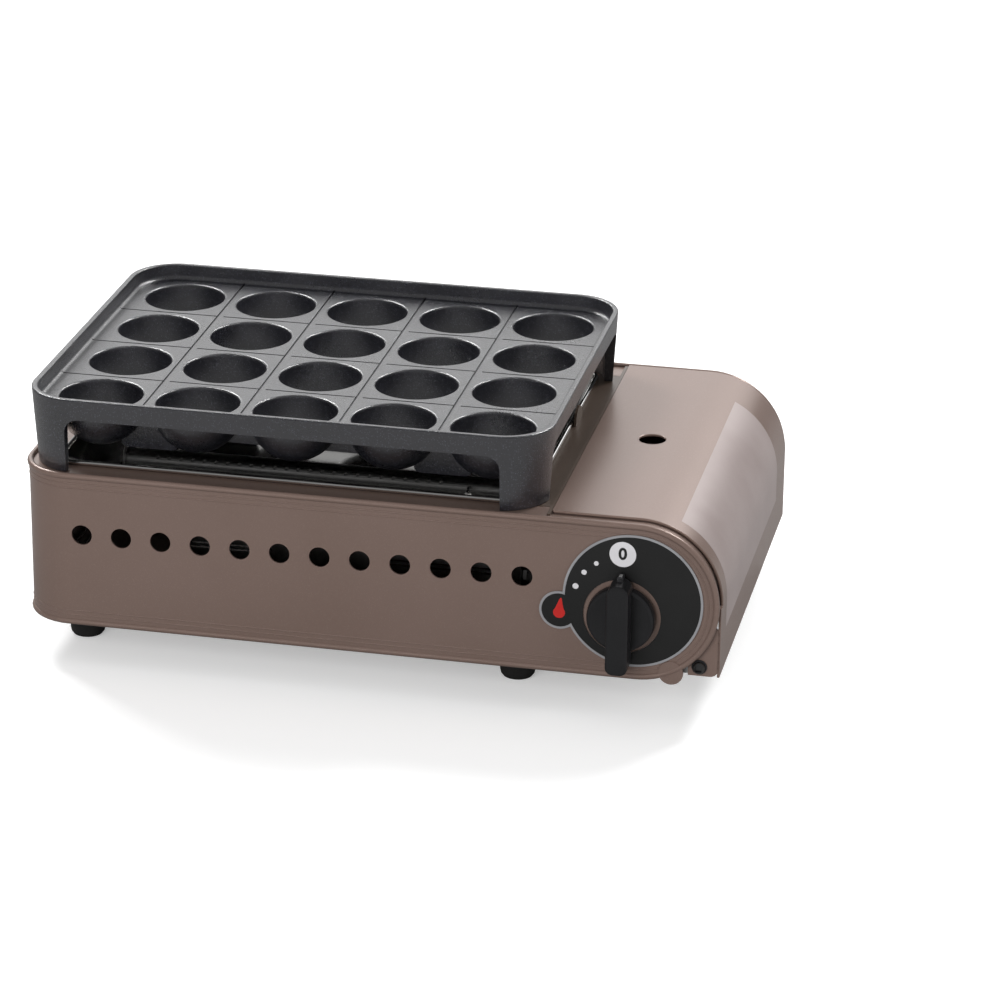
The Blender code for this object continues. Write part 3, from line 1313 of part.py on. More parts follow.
def magnet_places():
    reach = (VALVE_RADIUS + MAGNET_RING_BORE) / 2
    yield "magnet_left", CANISTER_X - reach
    yield "magnet_right", CANISTER_X + reach


def magnet_box(name, x, play):
    return box(
        name, x - MAGNET_WIDTH / 2 - play, x + MAGNET_WIDTH / 2 + play, RING_REAR - 2 * SHEET - play,
        RING_REAR + play * OVERRUN / GAP, CANISTER_Z - MAGNET_LENGTH / 2 - play,
        CANISTER_Z + MAGNET_LENGTH / 2 + play,
    )


def magnet_ring():
    """The ring behind the valve that holds two magnets against the canister's collar."""
    ring = rod("magnet_ring", (CANISTER_X, VALVE_REAR + GAP, CANISTER_Z),
               (CANISTER_X, RING_REAR, CANISTER_Z), VALVE_RADIUS, VALVE_SIDES)
    bore = rod("bore", (CANISTER_X, VALVE_REAR - OVERRUN, CANISTER_Z),
               (CANISTER_X, RING_REAR + OVERRUN, CANISTER_Z), MAGNET_RING_BORE, VALVE_SIDES)
    pockets = [magnet_box("pocket", x, GAP) for _, x in magnet_places()]
    return cut(ring, bore, *pockets)


def spindle():
    start = KNOB_BACK - KNOB_BORE + GAP
    end = VALVE_FRONT + SPINDLE_SEAT
    return rod("spindle", (KNOB_X, start, KNOB_Z), (KNOB_X, end, KNOB_Z), SPINDLE_RADIUS, SMALL_SIDES)


def snail_cam():
    """The cam that lifts the igniter's plunger as the knob turns and lets it drop at the end."""
    turn = math.degrees(KNOB_TURN)
    steps = CORNER_STEPS * 2
    outline = []
    for step in range(steps + 1):
        angle = math.radians(90 - turn * step / steps)
        radius = CAM_RADIUS + CAM_RISE * step / steps
        outline.append((KNOB_X + radius * math.cos(angle), KNOB_Z + radius * math.sin(angle)))
    outline += arc((KNOB_X, KNOB_Z), CAM_RADIUS, 75 - turn, -255, steps)
    half = CAM_THICKNESS / 2
    cam = prism("snail_cam", outline, CAM_MIDDLE - half, CAM_MIDDLE + half, "XZ")
    bore = rod("bore", (KNOB_X, CAM_MIDDLE - OVERRUN, KNOB_Z), (KNOB_X, CAM_MIDDLE + OVERRUN, KNOB_Z),
               SPINDLE_RADIUS + GAP, SMALL_SIDES)
    return cut(cam, bore)


def knob():
    """The round-based knob with its bar grip and the small pointer on top."""
    base = turned(
        "knob",
        [
            (0, KNOB_BASE),
            (KNOB_RADIUS - 2 * GAP, KNOB_BASE),
            (KNOB_RADIUS, KNOB_BASE - 2 * GAP),
            (KNOB_RADIUS, 0),
            (0, 0),
        ],
        (KNOB_X, KNOB_BACK, KNOB_Z), (0, -1, 0), ROUND_SIDES + SMALL_SIDES,
    )
    outline = rounded(
        KNOB_X - GRIP_WIDTH / 2, KNOB_X + GRIP_WIDTH / 2, KNOB_Z - GRIP_DOWN, KNOB_Z + GRIP_UP,
        GRIP_WIDTH / 4,
    )
    grip = prism("grip", outline, KNOB_FACE, KNOB_BACK - GAP, "XZ")
    top = KNOB_Z + GRIP_UP
    wedge = [
        (KNOB_BACK - GAP, top - POINTER_RISE),
        (KNOB_BACK - GAP, top + POINTER_RISE),
        (KNOB_BACK - GAP - POINTER_LENGTH, top - POINTER_RISE),
    ]
    pointer = prism("pointer", wedge, KNOB_X - POINTER_WIDTH / 2, KNOB_X + POINTER_WIDTH / 2, "YZ")
    bore = rod("bore", (KNOB_X, KNOB_BACK - KNOB_BORE, KNOB_Z), (KNOB_X, KNOB_BACK + OVERRUN, KNOB_Z),
               SPINDLE_RADIUS + GAP, SMALL_SIDES)
    return cut(join(base, grip, pointer), bore)


def dial_outline():
    """A large disc with a small round lobe at its left, as one outline."""
    apart = math.hypot(DIAL_LOBE_REACH, DIAL_LOBE_DROP)
    towards = math.degrees(math.atan2(-DIAL_LOBE_DROP, -DIAL_LOBE_REACH))
    shared = apart**2 + DIAL_RADIUS**2 - DIAL_LOBE_RADIUS**2
    at_disc = math.degrees(math.acos(shared / (2 * apart * DIAL_RADIUS)))
    shared = apart**2 + DIAL_LOBE_RADIUS**2 - DIAL_RADIUS**2
    at_lobe = math.degrees(math.acos(shared / (2 * apart * DIAL_LOBE_RADIUS)))
    lobe = (DIAL_X - DIAL_LOBE_REACH, DIAL_Z - DIAL_LOBE_DROP)
    return (
        arc((DIAL_X, DIAL_Z), DIAL_RADIUS, towards + at_disc, towards + 360 - at_disc, 2 * ROUND_SIDES)
        + arc(lobe, DIAL_LOBE_RADIUS, towards - 180 + at_lobe, towards + 180 - at_lobe, ROUND_SIDES)[1:-1]
    )


def dial_plate():
    """The thin keyhole-shaped dial with the well for the knob."""
    keyhole = prism("dial_plate", dial_outline(), DIAL_FACE, DIAL_BACK, "XZ")
    well = rod("well", (KNOB_X, DIAL_FACE - OVERRUN, KNOB_Z), (KNOB_X, DIAL_BACK + OVERRUN, KNOB_Z),
               KNOB_WELL_RADIUS, ROUND_SIDES + SMALL_SIDES)
    return cut(keyhole, well)


def piezo_igniter():
    top = IGNITER_BOTTOM + IGNITER_LENGTH
    body = rod("piezo_igniter", (KNOB_X, CAM_MIDDLE, IGNITER_BOTTOM), (KNOB_X, CAM_MIDDLE, top),
               IGNITER_RADIUS)
    bore_top = IGNITER_BOTTOM + PLUNGER_INSIDE + CAM_RISE + SHEET
    bore = rod("bore", (KNOB_X, CAM_MIDDLE, IGNITER_BOTTOM - OVERRUN), (KNOB_X, CAM_MIDDLE, bore_top),
               PLUNGER_RADIUS + GAP, SMALL_SIDES)
    side = rod("side", (KNOB_X - IGNITER_RADIUS - OVERRUN, CAM_MIDDLE, top - IGNITER_RADIUS),
               (KNOB_X, CAM_MIDDLE, top - IGNITER_RADIUS), LEAD_RADIUS + GAP, SMALL_SIDES)
    return cut(body, bore, side)


def igniter_plunger():
    """The pin that the cam lifts: it has a domed lower end."""
    length = PLUNGER_SHOWING + PLUNGER_INSIDE
    dome = arc((0, PLUNGER_RADIUS), PLUNGER_RADIUS, 0, -90, 3)
    profile = [(0, length), (PLUNGER_RADIUS, length)] + dome[:-1] + [(0, 0)]
    return turned("igniter_plunger", profile, (KNOB_X, CAM_MIDDLE, PLUNGER_TIP), (0, 0, 1))


def igniter_clip():
    """The band round the igniter, with a tail screwed to the valve bracket."""
    inner = IGNITER_RADIUS + GAP
    low = IGNITER_BOTTOM + (IGNITER_LENGTH - CLIP_HEIGHT) / 2
    high = low + CLIP_HEIGHT
    band = rod("igniter_clip", (KNOB_X, CAM_MIDDLE, low), (KNOB_X, CAM_MIDDLE, high), inner + CLIP_SHEET)
    face = BRACKET_FRONT - GAP
    tail = box("tail", KNOB_X, KNOB_X + inner + CLIP_TAIL, face - CLIP_SHEET, face, low, high)
    bore = rod("bore", (KNOB_X, CAM_MIDDLE, low - OVERRUN), (KNOB_X, CAM_MIDDLE, high + OVERRUN), inner)
    x, z = clip_screw_place()
    hole = rod("hole", (x, face - OVERRUN, z), (x, face + OVERRUN, z), SCREW_SHANK + GAP, SMALL_SIDES)
    return cut(join(band, tail), bore, hole)


def igniter_lead():
    """The spark lead, from the igniter through the wall and under the pan to the electrode."""
    z = IGNITER_BOTTOM + IGNITER_LENGTH - IGNITER_RADIUS
    reach = IGNITER_RADIUS + CLIP_TAIL
    bay_x = WALL_X + SHEET + OUTLET_LENGTH
    low = LEAD_HOLE_Z
    points = [
        (KNOB_X - LEAD_RADIUS, CAM_MIDDLE, z),
        (KNOB_X - reach, CAM_MIDDLE, z),
        (bay_x + 2 * OUTLET_LENGTH, CAM_MIDDLE, z - OUTLET_LENGTH / 2),
        (bay_x + OUTLET_LENGTH / 2, (CAM_MIDDLE + LEAD_HOLE_Y) / 2, (z + low) / 2),
        (bay_x, LEAD_HOLE_Y, low),
        (WALL_X - OUTLET_LENGTH, LEAD_HOLE_Y, low),
        (ELECTRODE_X + SUPPORT_WIDTH * 2, (LEAD_HOLE_Y + ELECTRODE_Y) / 2, low),
        (ELECTRODE_X + SUPPORT_WIDTH / 2, ELECTRODE_Y + SHEET, low - SHEET),
        (ELECTRODE_X, ELECTRODE_Y, low + SHEET),
    ]
    line = smooth_path(points, 3)
    line.append((ELECTRODE_X, ELECTRODE_Y, STAND_TOP))
    return swept("igniter_lead", line, LEAD_RADIUS, resolution=1)


def electrode_insulator():
    """The white ceramic sleeve through the pan's floor."""
    low = STAND_TOP - STAND_SHEET - GAP
    high = PAN_FLOOR + ELECTRODE_RISE
    height = high - low
    profile = [
        (0, height),
        (ELECTRODE_RADIUS * SCREW_CROWN_SHARE, height),
        (ELECTRODE_RADIUS, height - ELECTRODE_RADIUS),
        (ELECTRODE_RADIUS, 0),
        (0, 0),
    ]
    sleeve = turned("electrode_insulator", profile, (ELECTRODE_X, ELECTRODE_Y, low), (0, 0, 1))
    below = rod("below", (ELECTRODE_X, ELECTRODE_Y, low - OVERRUN),
                (ELECTRODE_X, ELECTRODE_Y, STAND_TOP + GAP), LEAD_RADIUS + GAP, SMALL_SIDES)
    above = rod("above", (ELECTRODE_X, ELECTRODE_Y, high - OVERRUN),
                (ELECTRODE_X, ELECTRODE_Y, high + OVERRUN), ELECTRODE_WIRE + GAP / 2, SMALL_SIDES)
    return cut(sleeve, below, above)


def electrode_tip():
    high = PAN_FLOOR + ELECTRODE_RISE
    end_y = BURNER_FRONT - BURNER_RADIUS - SPARK_GAP
    path = [
        (ELECTRODE_X, ELECTRODE_Y, high - OVERRUN + GAP),
        (ELECTRODE_X, ELECTRODE_Y, high + SHEET),
        (ELECTRODE_X, ELECTRODE_Y + SHEET, high + 2 * SHEET),
        (ELECTRODE_X, end_y, high + SHEET),
    ]
    return swept("electrode_tip", path, ELECTRODE_WIRE)


def electrode_bracket():
    """The small bright tab that holds the insulator on the pan's floor."""
    low = PAN_FLOOR + GAP
    half = SUPPORT_WIDTH / 2 - SHEET
    x1 = ELECTRODE_X + SUPPORT_WIDTH + half
    tab = box("electrode_bracket", ELECTRODE_X - half, x1, ELECTRODE_Y - half, ELECTRODE_Y + half, low,
              low + CLAMP_SHEET)
    collar = rod("collar", (ELECTRODE_X, ELECTRODE_Y, low + CLAMP_SHEET / 2),
                 (ELECTRODE_X, ELECTRODE_Y, low + OUTLET_LENGTH), ELECTRODE_RADIUS + GAP + CLIP_SHEET)
    return cut(join(tab, collar), *floor_bores())


def floor_bores():
    """The insulator's and the screw's own holes in the tab."""
    high = PAN_FLOOR + OUTLET_LENGTH + OVERRUN
    screw_x = ELECTRODE_X + SUPPORT_WIDTH
    return [
        rod("bore", (ELECTRODE_X, ELECTRODE_Y, PAN_FLOOR - OVERRUN), (ELECTRODE_X, ELECTRODE_Y, high),
            ELECTRODE_RADIUS + GAP, SMALL_SIDES),
        rod("bore", (screw_x, ELECTRODE_Y, PAN_FLOOR - OVERRUN), (screw_x, ELECTRODE_Y, high),
            SCREW_SHANK + GAP, SMALL_SIDES),
    ]


def place_screws(steel):
    """Every small screw."""
    reach = GAP + 3 * SHEET
    for name, x, y in base_screws():
        finish(screw(name, (x, y, BASE_BOTTOM - GAP), (0, 0, -1), reach), steel)
    for name, x, z in valve_screws():
        length = 2 * GAP + SHEET + VALVE_SCREW_LENGTH - OVERRUN / 2
        finish(screw(name, (x, BRACKET_FRONT - GAP, z), (0, -1, 0), length), steel)
    x, z = clip_screw_place()
    face = BRACKET_FRONT - 2 * GAP - CLIP_SHEET
    finish(screw("igniter_clip_screw", (x, face, z), (0, -1, 0), 2 * GAP + CLIP_SHEET + SHEET), steel)
    head = (ELECTRODE_X + SUPPORT_WIDTH, ELECTRODE_Y, PAN_FLOOR + 2 * GAP + CLAMP_SHEET)
    finish(screw("electrode_screw", head, (0, 0, 1), 4 * GAP + 4 * SHEET), steel)


def build():
    clear_scene()
    body_paint = paint("body_paint", (0.20, 0.145, 0.125), 0.6, 0.42)
    dark_paint = paint("dark_paint", (0.085, 0.06, 0.045), 0.4, 0.5)
    cast = paint("cast_coating", (0.035, 0.034, 0.037), 0.3, 0.6)
    chrome = paint("bright_chrome", (0.75, 0.75, 0.76), 1, 0.12)
    zinc = paint("zinc_plate", (0.50, 0.50, 0.50), 1, 0.4)
    steel = paint("screw_steel", (0.55, 0.55, 0.56), 1, 0.3)
    brass = paint("brass", (0.60, 0.44, 0.18), 1, 0.35)
    black = paint("black_plastic", (0.012, 0.012, 0.013), 0, 0.4)
    rubber = paint("black_rubber", (0.015, 0.015, 0.015), 0, 0.85)
    dial_black = paint("dial_black", (0.02, 0.02, 0.02), 0, 0.35)
    white = paint("white_ceramic", (0.8, 0.79, 0.75), 0, 0.3)

    finish(body_shell(), body_paint)
    finish(base_plate(), body_paint)
    for where, x, y in foot_places():
        finish(foot(f"foot_{where}", x, y), rubber)
    finish(partition_wall(), dark_paint)
    finish(cradle(), zinc)
    for side, arm_face, ear_face, inward in (
        ("front", HINGE_ARM_FRONT, EAR_FRONT, 1),
        ("rear", HINGE_ARM_REAR, EAR_REAR, -1),
    ):
        finish(hinge_arm(f"hinge_arm_{side}", f"hinge_arm_screw_{side}", arm_face, inward), zinc)
        finish(hinge_bush(f"hinge_bush_{side}", ear_face, inward), black)
        finish(hinge_screw(f"hinge_screw_{side}", ear_face, inward), steel)
    finish(drip_pan(), chrome)
    finish(burner_stand(), zinc)
    finish(burner(), zinc)
    finish(burner_support("burner_support_left", BURNER_LEFT + SUPPORT_LEFT_INSET), zinc)
    finish(burner_support("burner_support_right", CROSS_X - SUPPORT_RIGHT_INSET), zinc)
    finish(burner_clamp(), chrome)
    finish(mixing_tube(), zinc)
    finish(gas_jet(), brass)
    finish(jet_nut(), brass)
    finish(gas_pipe(), brass)
    finish(valve_block(), zinc)
    finish(valve_bracket(), zinc)
    finish(magnet_ring(), black)
    for name, x in magnet_places():
        finish(magnet_box(name, x, 0), steel)
    finish(dial_plate(), dial_black)
    finish(piezo_igniter(), white)
    finish(igniter_clip(), steel)
    finish(igniter_lead(), white)
    finish(electrode_insulator(), white)
    finish(electrode_tip(), steel)
    finish(electrode_bracket(), chrome)
    place_screws(steel)

    lift = guide("plate_lift_axis", (CHAMBER_X, MIDDLE_Y, PLATE_FOOT))
    ride(finish(takoyaki_plate(), cast), lift)
    hinge = guide("cover_hinge_axis", (HINGE_X, MIDDLE_Y, HINGE_Z))
    ride(finish(container_cover(), body_paint), hinge)
    turn = guide("knob_turn_axis", (KNOB_X, KNOB_BACK, KNOB_Z))
    ride(finish(knob(), black), turn)
    ride(finish(spindle(), steel), turn)
    ride(finish(snail_cam(), white), turn)
    slide = guide("plunger_slide_axis", (KNOB_X, CAM_MIDDLE, PLUNGER_TIP))
    ride(finish(igniter_plunger(), brass), slide)


build()
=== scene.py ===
# Looks for the takoyaki maker: a cast pit plate on a brown gas cooker with a canister bay
import math

import bmesh
import bpy
from mathutils import Matrix, Vector


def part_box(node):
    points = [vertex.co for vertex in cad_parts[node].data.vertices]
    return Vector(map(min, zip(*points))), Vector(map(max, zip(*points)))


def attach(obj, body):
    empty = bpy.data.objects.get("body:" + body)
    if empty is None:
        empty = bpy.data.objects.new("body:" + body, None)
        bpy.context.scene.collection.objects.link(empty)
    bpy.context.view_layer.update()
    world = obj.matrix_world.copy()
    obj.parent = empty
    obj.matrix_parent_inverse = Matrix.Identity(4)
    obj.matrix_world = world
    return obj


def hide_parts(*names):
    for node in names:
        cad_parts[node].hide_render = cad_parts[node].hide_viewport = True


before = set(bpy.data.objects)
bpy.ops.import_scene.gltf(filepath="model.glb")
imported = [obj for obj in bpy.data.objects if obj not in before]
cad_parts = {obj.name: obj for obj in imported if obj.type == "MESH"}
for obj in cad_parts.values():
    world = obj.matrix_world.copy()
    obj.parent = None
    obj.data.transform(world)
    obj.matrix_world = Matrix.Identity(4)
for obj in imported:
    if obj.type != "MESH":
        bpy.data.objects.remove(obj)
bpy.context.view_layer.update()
scene = bpy.context.scene
scene.view_settings.view_transform = "Standard"
mm = 0.001
near = 0.01 * mm    # points closer than this are one


# Whether an edge runs along one axis
def along(edge, axis):
    way = edge.verts[1].co - edge.verts[0].co
    return abs(way[axis]) > 0.999 * way.length


def roundEdges(form, edges, radius, steps):
    bmesh.ops.bevel(form, geom=edges, offset=radius, offset_type="OFFSET", segments=steps,
                    profile=0.5, affect="EDGES", material=-1, clamp_overlap=True)


def block(low, high):
    form = bmesh.new()
    low, high = Vector(low), Vector(high)
    bmesh.ops.create_cube(form, size=1)
    bmesh.ops.scale(form, vec=high - low, verts=form.verts)
    bmesh.ops.translate(form, vec=(low + high) / 2, verts=form.verts)
    return form


def roundedBlock(low, high, axis, radius, steps, test=None):
    form = block(low, high)
    edges = [e for e in form.edges if along(e, axis)]
    if test:
        edges = [e for e in edges if test((e.verts[0].co + e.verts[1].co) / 2)]
    roundEdges(form, edges, radius, steps)
    return form


def rod(start, stop, radius, steps=48):
    form = bmesh.new()
    start, stop = Vector(start), Vector(stop)
    way = stop - start
    bmesh.ops.create_cone(form, cap_ends=True, segments=steps, radius1=radius, radius2=radius,
                          depth=way.length)
    turn = Vector((0, 0, 1)).rotation_difference(way).to_matrix()
    bmesh.ops.rotate(form, cent=(0, 0, 0), matrix=turn, verts=form.verts)
    bmesh.ops.translate(form, vec=(start + stop) / 2, verts=form.verts)
    return form


# A rod that runs from front to back, or the other way
def rodBack(x, z, start, stop, radius, steps=48):
    return rod((x, start, z), (x, stop, z), radius, steps)


# A profile of (radius, height) pairs, spun round its own axis and then placed along another
def spun(profile, place, axis=(0, 0, 1), steps=64):
    form = bmesh.new()
    line = [form.verts.new((r, 0, h)) for r, h in profile]
    edges = [form.edges.new(pair) for pair in zip(line, line[1:])]
    bmesh.ops.spin(form, geom=line + edges, cent=(0, 0, 0), axis=(0, 0, 1), dvec=(0, 0, 0),
                   angle=2 * math.pi, steps=steps, use_merge=True)
    bmesh.ops.remove_doubles(form, verts=form.verts, dist=near)
    turn = Vector((0, 0, 1)).rotation_difference(Vector(axis)).to_matrix()
    bmesh.ops.rotate(form, cent=(0, 0, 0), matrix=turn, verts=form.verts)
    bmesh.ops.translate(form, vec=place, verts=form.verts)
    bmesh.ops.recalc_face_normals(form, faces=form.faces)
    return form


# Points of an arc, from one angle to another in degrees
def quarter(cx, cz, radius, start, stop, steps):
    turn = [math.radians(start + (stop - start) * n / steps) for n in range(steps + 1)]
    return [(cx + radius * math.cos(t), cz + radius * math.sin(t)) for t in turn]


def objectFrom(name, form):
    mesh = bpy.data.meshes.new(name)
    form.to_mesh(mesh)
    form.free()
    item = bpy.data.objects.new(name, mesh)
    scene.collection.objects.link(item)
    return item


# The form of a piece, which is then deleted
def formFrom(item):
    form = bmesh.new()
    form.from_mesh(item.data)
    bpy.data.objects.remove(item)
    return form


def bakedMesh(item):
    graph = bpy.context.evaluated_depsgraph_get()
    return bpy.data.meshes.new_from_object(item.evaluated_get(graph))


def bake(item):
    mesh = bakedMesh(item)
    old = item.data
    item.modifiers.clear()
    item.data = mesh
    bpy.data.meshes.remove(old)
    return item


def merge(forms):
    form = formFrom(objectFrom("tools", forms[0]))
    for other in forms[1:]:
        mesh = bpy.data.meshes.new("tool")
        other.to_mesh(mesh)
        other.free()
        form.from_mesh(mesh)
        bpy.data.meshes.remove(mesh)
    return form


def solve(item, forms, operation):
    tool = objectFrom("tool", merge(forms))
    change = item.modifiers.new(operation, "BOOLEAN")
    change.operation = operation
    change.solver = "EXACT"
    change.object = tool
    bpy.context.view_layer.update()
    bake(item)
    bpy.data.objects.remove(tool)
    return item


def softenEdges(item, width, steps=2, angle=40):
    soft = item.modifiers.new("soft edges", "BEVEL")
    soft.width = width
    soft.segments = steps
    soft.limit_method = "ANGLE"
    soft.angle_limit = math.radians(angle)
    return bake(item)


def curveForm(name, curve):
    item = bpy.data.objects.new(name, curve)
    scene.collection.objects.link(item)
    bpy.context.view_layer.update()
    mesh = bakedMesh(item)
    bpy.data.objects.remove(item)
    form = bmesh.new()
    form.from_mesh(mesh)
    bpy.data.meshes.remove(mesh)
    return form


# A round wire, hem or pipe along a line of points
def wire(name, points, radius, closed=False, sides=6):
    curve = bpy.data.curves.new(name, "CURVE")
    curve.dimensions = "3D"
    curve.bevel_depth = radius
    curve.bevel_resolution = sides
    curve.use_fill_caps = not closed
    line = curve.splines.new("POLY")
    line.points.add(len(points) - 1)
    for point, place in zip(line.points, points):
        point.co = (*place, 1)
    line.use_cyclic_u = closed
    return curveForm(name, curve)


def addForms(item, forms):
    whole = bmesh.new()
    whole.from_mesh(item.data)
    mesh = bpy.data.meshes.new("added")
    added = merge(forms)
    added.to_mesh(mesh)
    added.free()
    whole.from_mesh(mesh)
    whole.to_mesh(item.data)
    whole.free()
    bpy.data.meshes.remove(mesh)
    return item


# Smooth shading with crisp corners, a finish, and the body that the piece moves with
def dress(item, name, material, body, nodes=(), angle=32):
    item.name = name
    item.data.name = name
    form = bmesh.new()
    form.from_mesh(item.data)
    for face in form.faces:
        face.smooth = True
    crisp = math.radians(angle)
    for edge in form.edges:
        edge.smooth = not (len(edge.link_faces) == 2 and edge.calc_face_angle(0) > crisp)
    form.to_mesh(item.data)
    form.free()
    even = item.modifiers.new("even shading", "WEIGHTED_NORMAL")
    even.keep_sharp = True
    item.data.materials.clear()
    item.data.materials.append(material)
    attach(item, body)
    if nodes:
        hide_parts(*nodes)
    return item



# Nodes that several finishes share: a group with its inputs and outputs
def effectGroup(name, inputs, outputs):
    tree = bpy.data.node_groups.new(name, "ShaderNodeTree")
    for label in inputs:
        tree.interface.new_socket(label, in_out="INPUT", socket_type="NodeSocketFloat")
    for label in outputs:
        tree.interface.new_socket(label, in_out="OUTPUT", socket_type="NodeSocketFloat")
    return tree, tree.nodes.new("NodeGroupInput"), tree.nodes.new("NodeGroupOutput")


def objectPlace(tree, stretch=(1, 1, 1)):
    place = tree.nodes.new("ShaderNodeTexCoord")
    mapping = tree.nodes.new("ShaderNodeMapping")
    mapping.inputs["Scale"].default_value = stretch
    tree.links.new(place.outputs["Object"], mapping.inputs["Vector"])
    return mapping.outputs["Vector"]


def noiseNode(tree, vector, scale, detail, roughness=0.5):
    noise = tree.nodes.new("ShaderNodeTexNoise")
    tree.links.new(vector, noise.inputs["Vector"])
    tree.links.new(scale, noise.inputs["Scale"])
    noise.inputs["Detail"].default_value = detail
    noise.inputs["Roughness"].default_value = roughness
    return noise.outputs["Fac"]


def rangeNode(tree, value, low, high, toLow=0.0, toHigh=1.0):
    change = tree.nodes.new("ShaderNodeMapRange")
    tree.links.new(value, change.inputs["Value"])
    change.inputs["From Min"].default_value = low
    change.inputs["From Max"].default_value = high
    change.inputs["To Min"].default_value = toLow
    change.inputs["To Max"].default_value = toHigh
    return change.outputs["Result"]


def mathNode(tree, kind, first, second):
    node = tree.nodes.new("ShaderNodeMath")
    node.operation = kind
    for socket, value in zip(node.inputs, (first, second)):
        if isinstance(value, (int, float)):
            socket.default_value = value
        else:
            tree.links.new(value, socket)
    return node.outputs[0]


# Slow clouds and fine grain of a surface
def grainGroup():
    inputs = ("Cloud scale", "Grain scale")
    tree, given, put = effectGroup("surface grain", inputs, ("Cloud", "Grain"))
    vector = objectPlace(tree)
    cloud = noiseNode(tree, vector, given.outputs["Cloud scale"], 3)
    grain = noiseNode(tree, vector, given.outputs["Grain scale"], 4, 0.6)
    tree.links.new(rangeNode(tree, cloud, 0.32, 0.68), put.inputs["Cloud"])
    tree.links.new(rangeNode(tree, grain, 0.3, 0.7), put.inputs["Grain"])
    return tree


# Small round specks: flakes in paint, grit in a coat
def speckGroup():
    tree, given, put = effectGroup("specks", ("Scale", "Radius", "Share"), ("Specks",))
    cells = tree.nodes.new("ShaderNodeTexVoronoi")
    tree.links.new(objectPlace(tree), cells.inputs["Vector"])
    tree.links.new(given.outputs["Scale"], cells.inputs["Scale"])
    near = mathNode(tree, "LESS_THAN", cells.outputs["Distance"], given.outputs["Radius"])
    parts = tree.nodes.new("ShaderNodeSeparateColor")
    tree.links.new(cells.outputs["Color"], parts.inputs["Color"])
    kept = mathNode(tree, "LESS_THAN", parts.outputs[0], given.outputs["Share"])
    tree.links.new(mathNode(tree, "MULTIPLY", near, kept), put.inputs["Specks"])
    return tree


# Worn, brighter outer corners, broken up by a noise
def wearGroup():
    tree, given, put = effectGroup("edge wear", ("Start", "End", "Break scale"), ("Wear",))
    shape = tree.nodes.new("ShaderNodeNewGeometry")
    change = tree.nodes.new("ShaderNodeMapRange")
    tree.links.new(shape.outputs["Pointiness"], change.inputs["Value"])
    tree.links.new(given.outputs["Start"], change.inputs["From Min"])
    tree.links.new(given.outputs["End"], change.inputs["From Max"])
    broken = noiseNode(tree, objectPlace(tree), given.outputs["Break scale"], 3)
    share = rangeNode(tree, broken, 0.25, 0.6)
    tree.links.new(mathNode(tree, "MULTIPLY", change.outputs["Result"], share), put.inputs["Wear"])
    return tree


# Fine drawn or rolled lines that run one way along the metal
def streakGroup():
    tree, given, put = effectGroup("rolled lines", ("Scale",), ("Lines",))
    lines = noiseNode(tree, objectPlace(tree, (0.02, 1, 1)), given.outputs["Scale"], 2)
    tree.links.new(rangeNode(tree, lines, 0.3, 0.7), put.inputs["Lines"])
    return tree


effects = {
    "grain": grainGroup(), "specks": speckGroup(), "wear": wearGroup(), "lines": streakGroup(),
}


def addEffect(tree, kind, values):
    node = tree.nodes.new("ShaderNodeGroup")
    node.node_tree = effects[kind]
    for label, value in values.items():
        node.inputs[label].default_value = value
    return node.outputs[0] if len(node.outputs) == 1 else node.outputs


def mixColour(tree, factor, first, second):
    mix = tree.nodes.new("ShaderNodeMix")
    mix.data_type = "RGBA"
    tree.links.new(factor, mix.inputs[0])
    for socket, value in ((mix.inputs[6], first), (mix.inputs[7], second)):
        if isinstance(value, tuple):
            socket.default_value = (*value, 1)
        else:
            tree.links.new(value, socket)
    return mix.outputs[2]


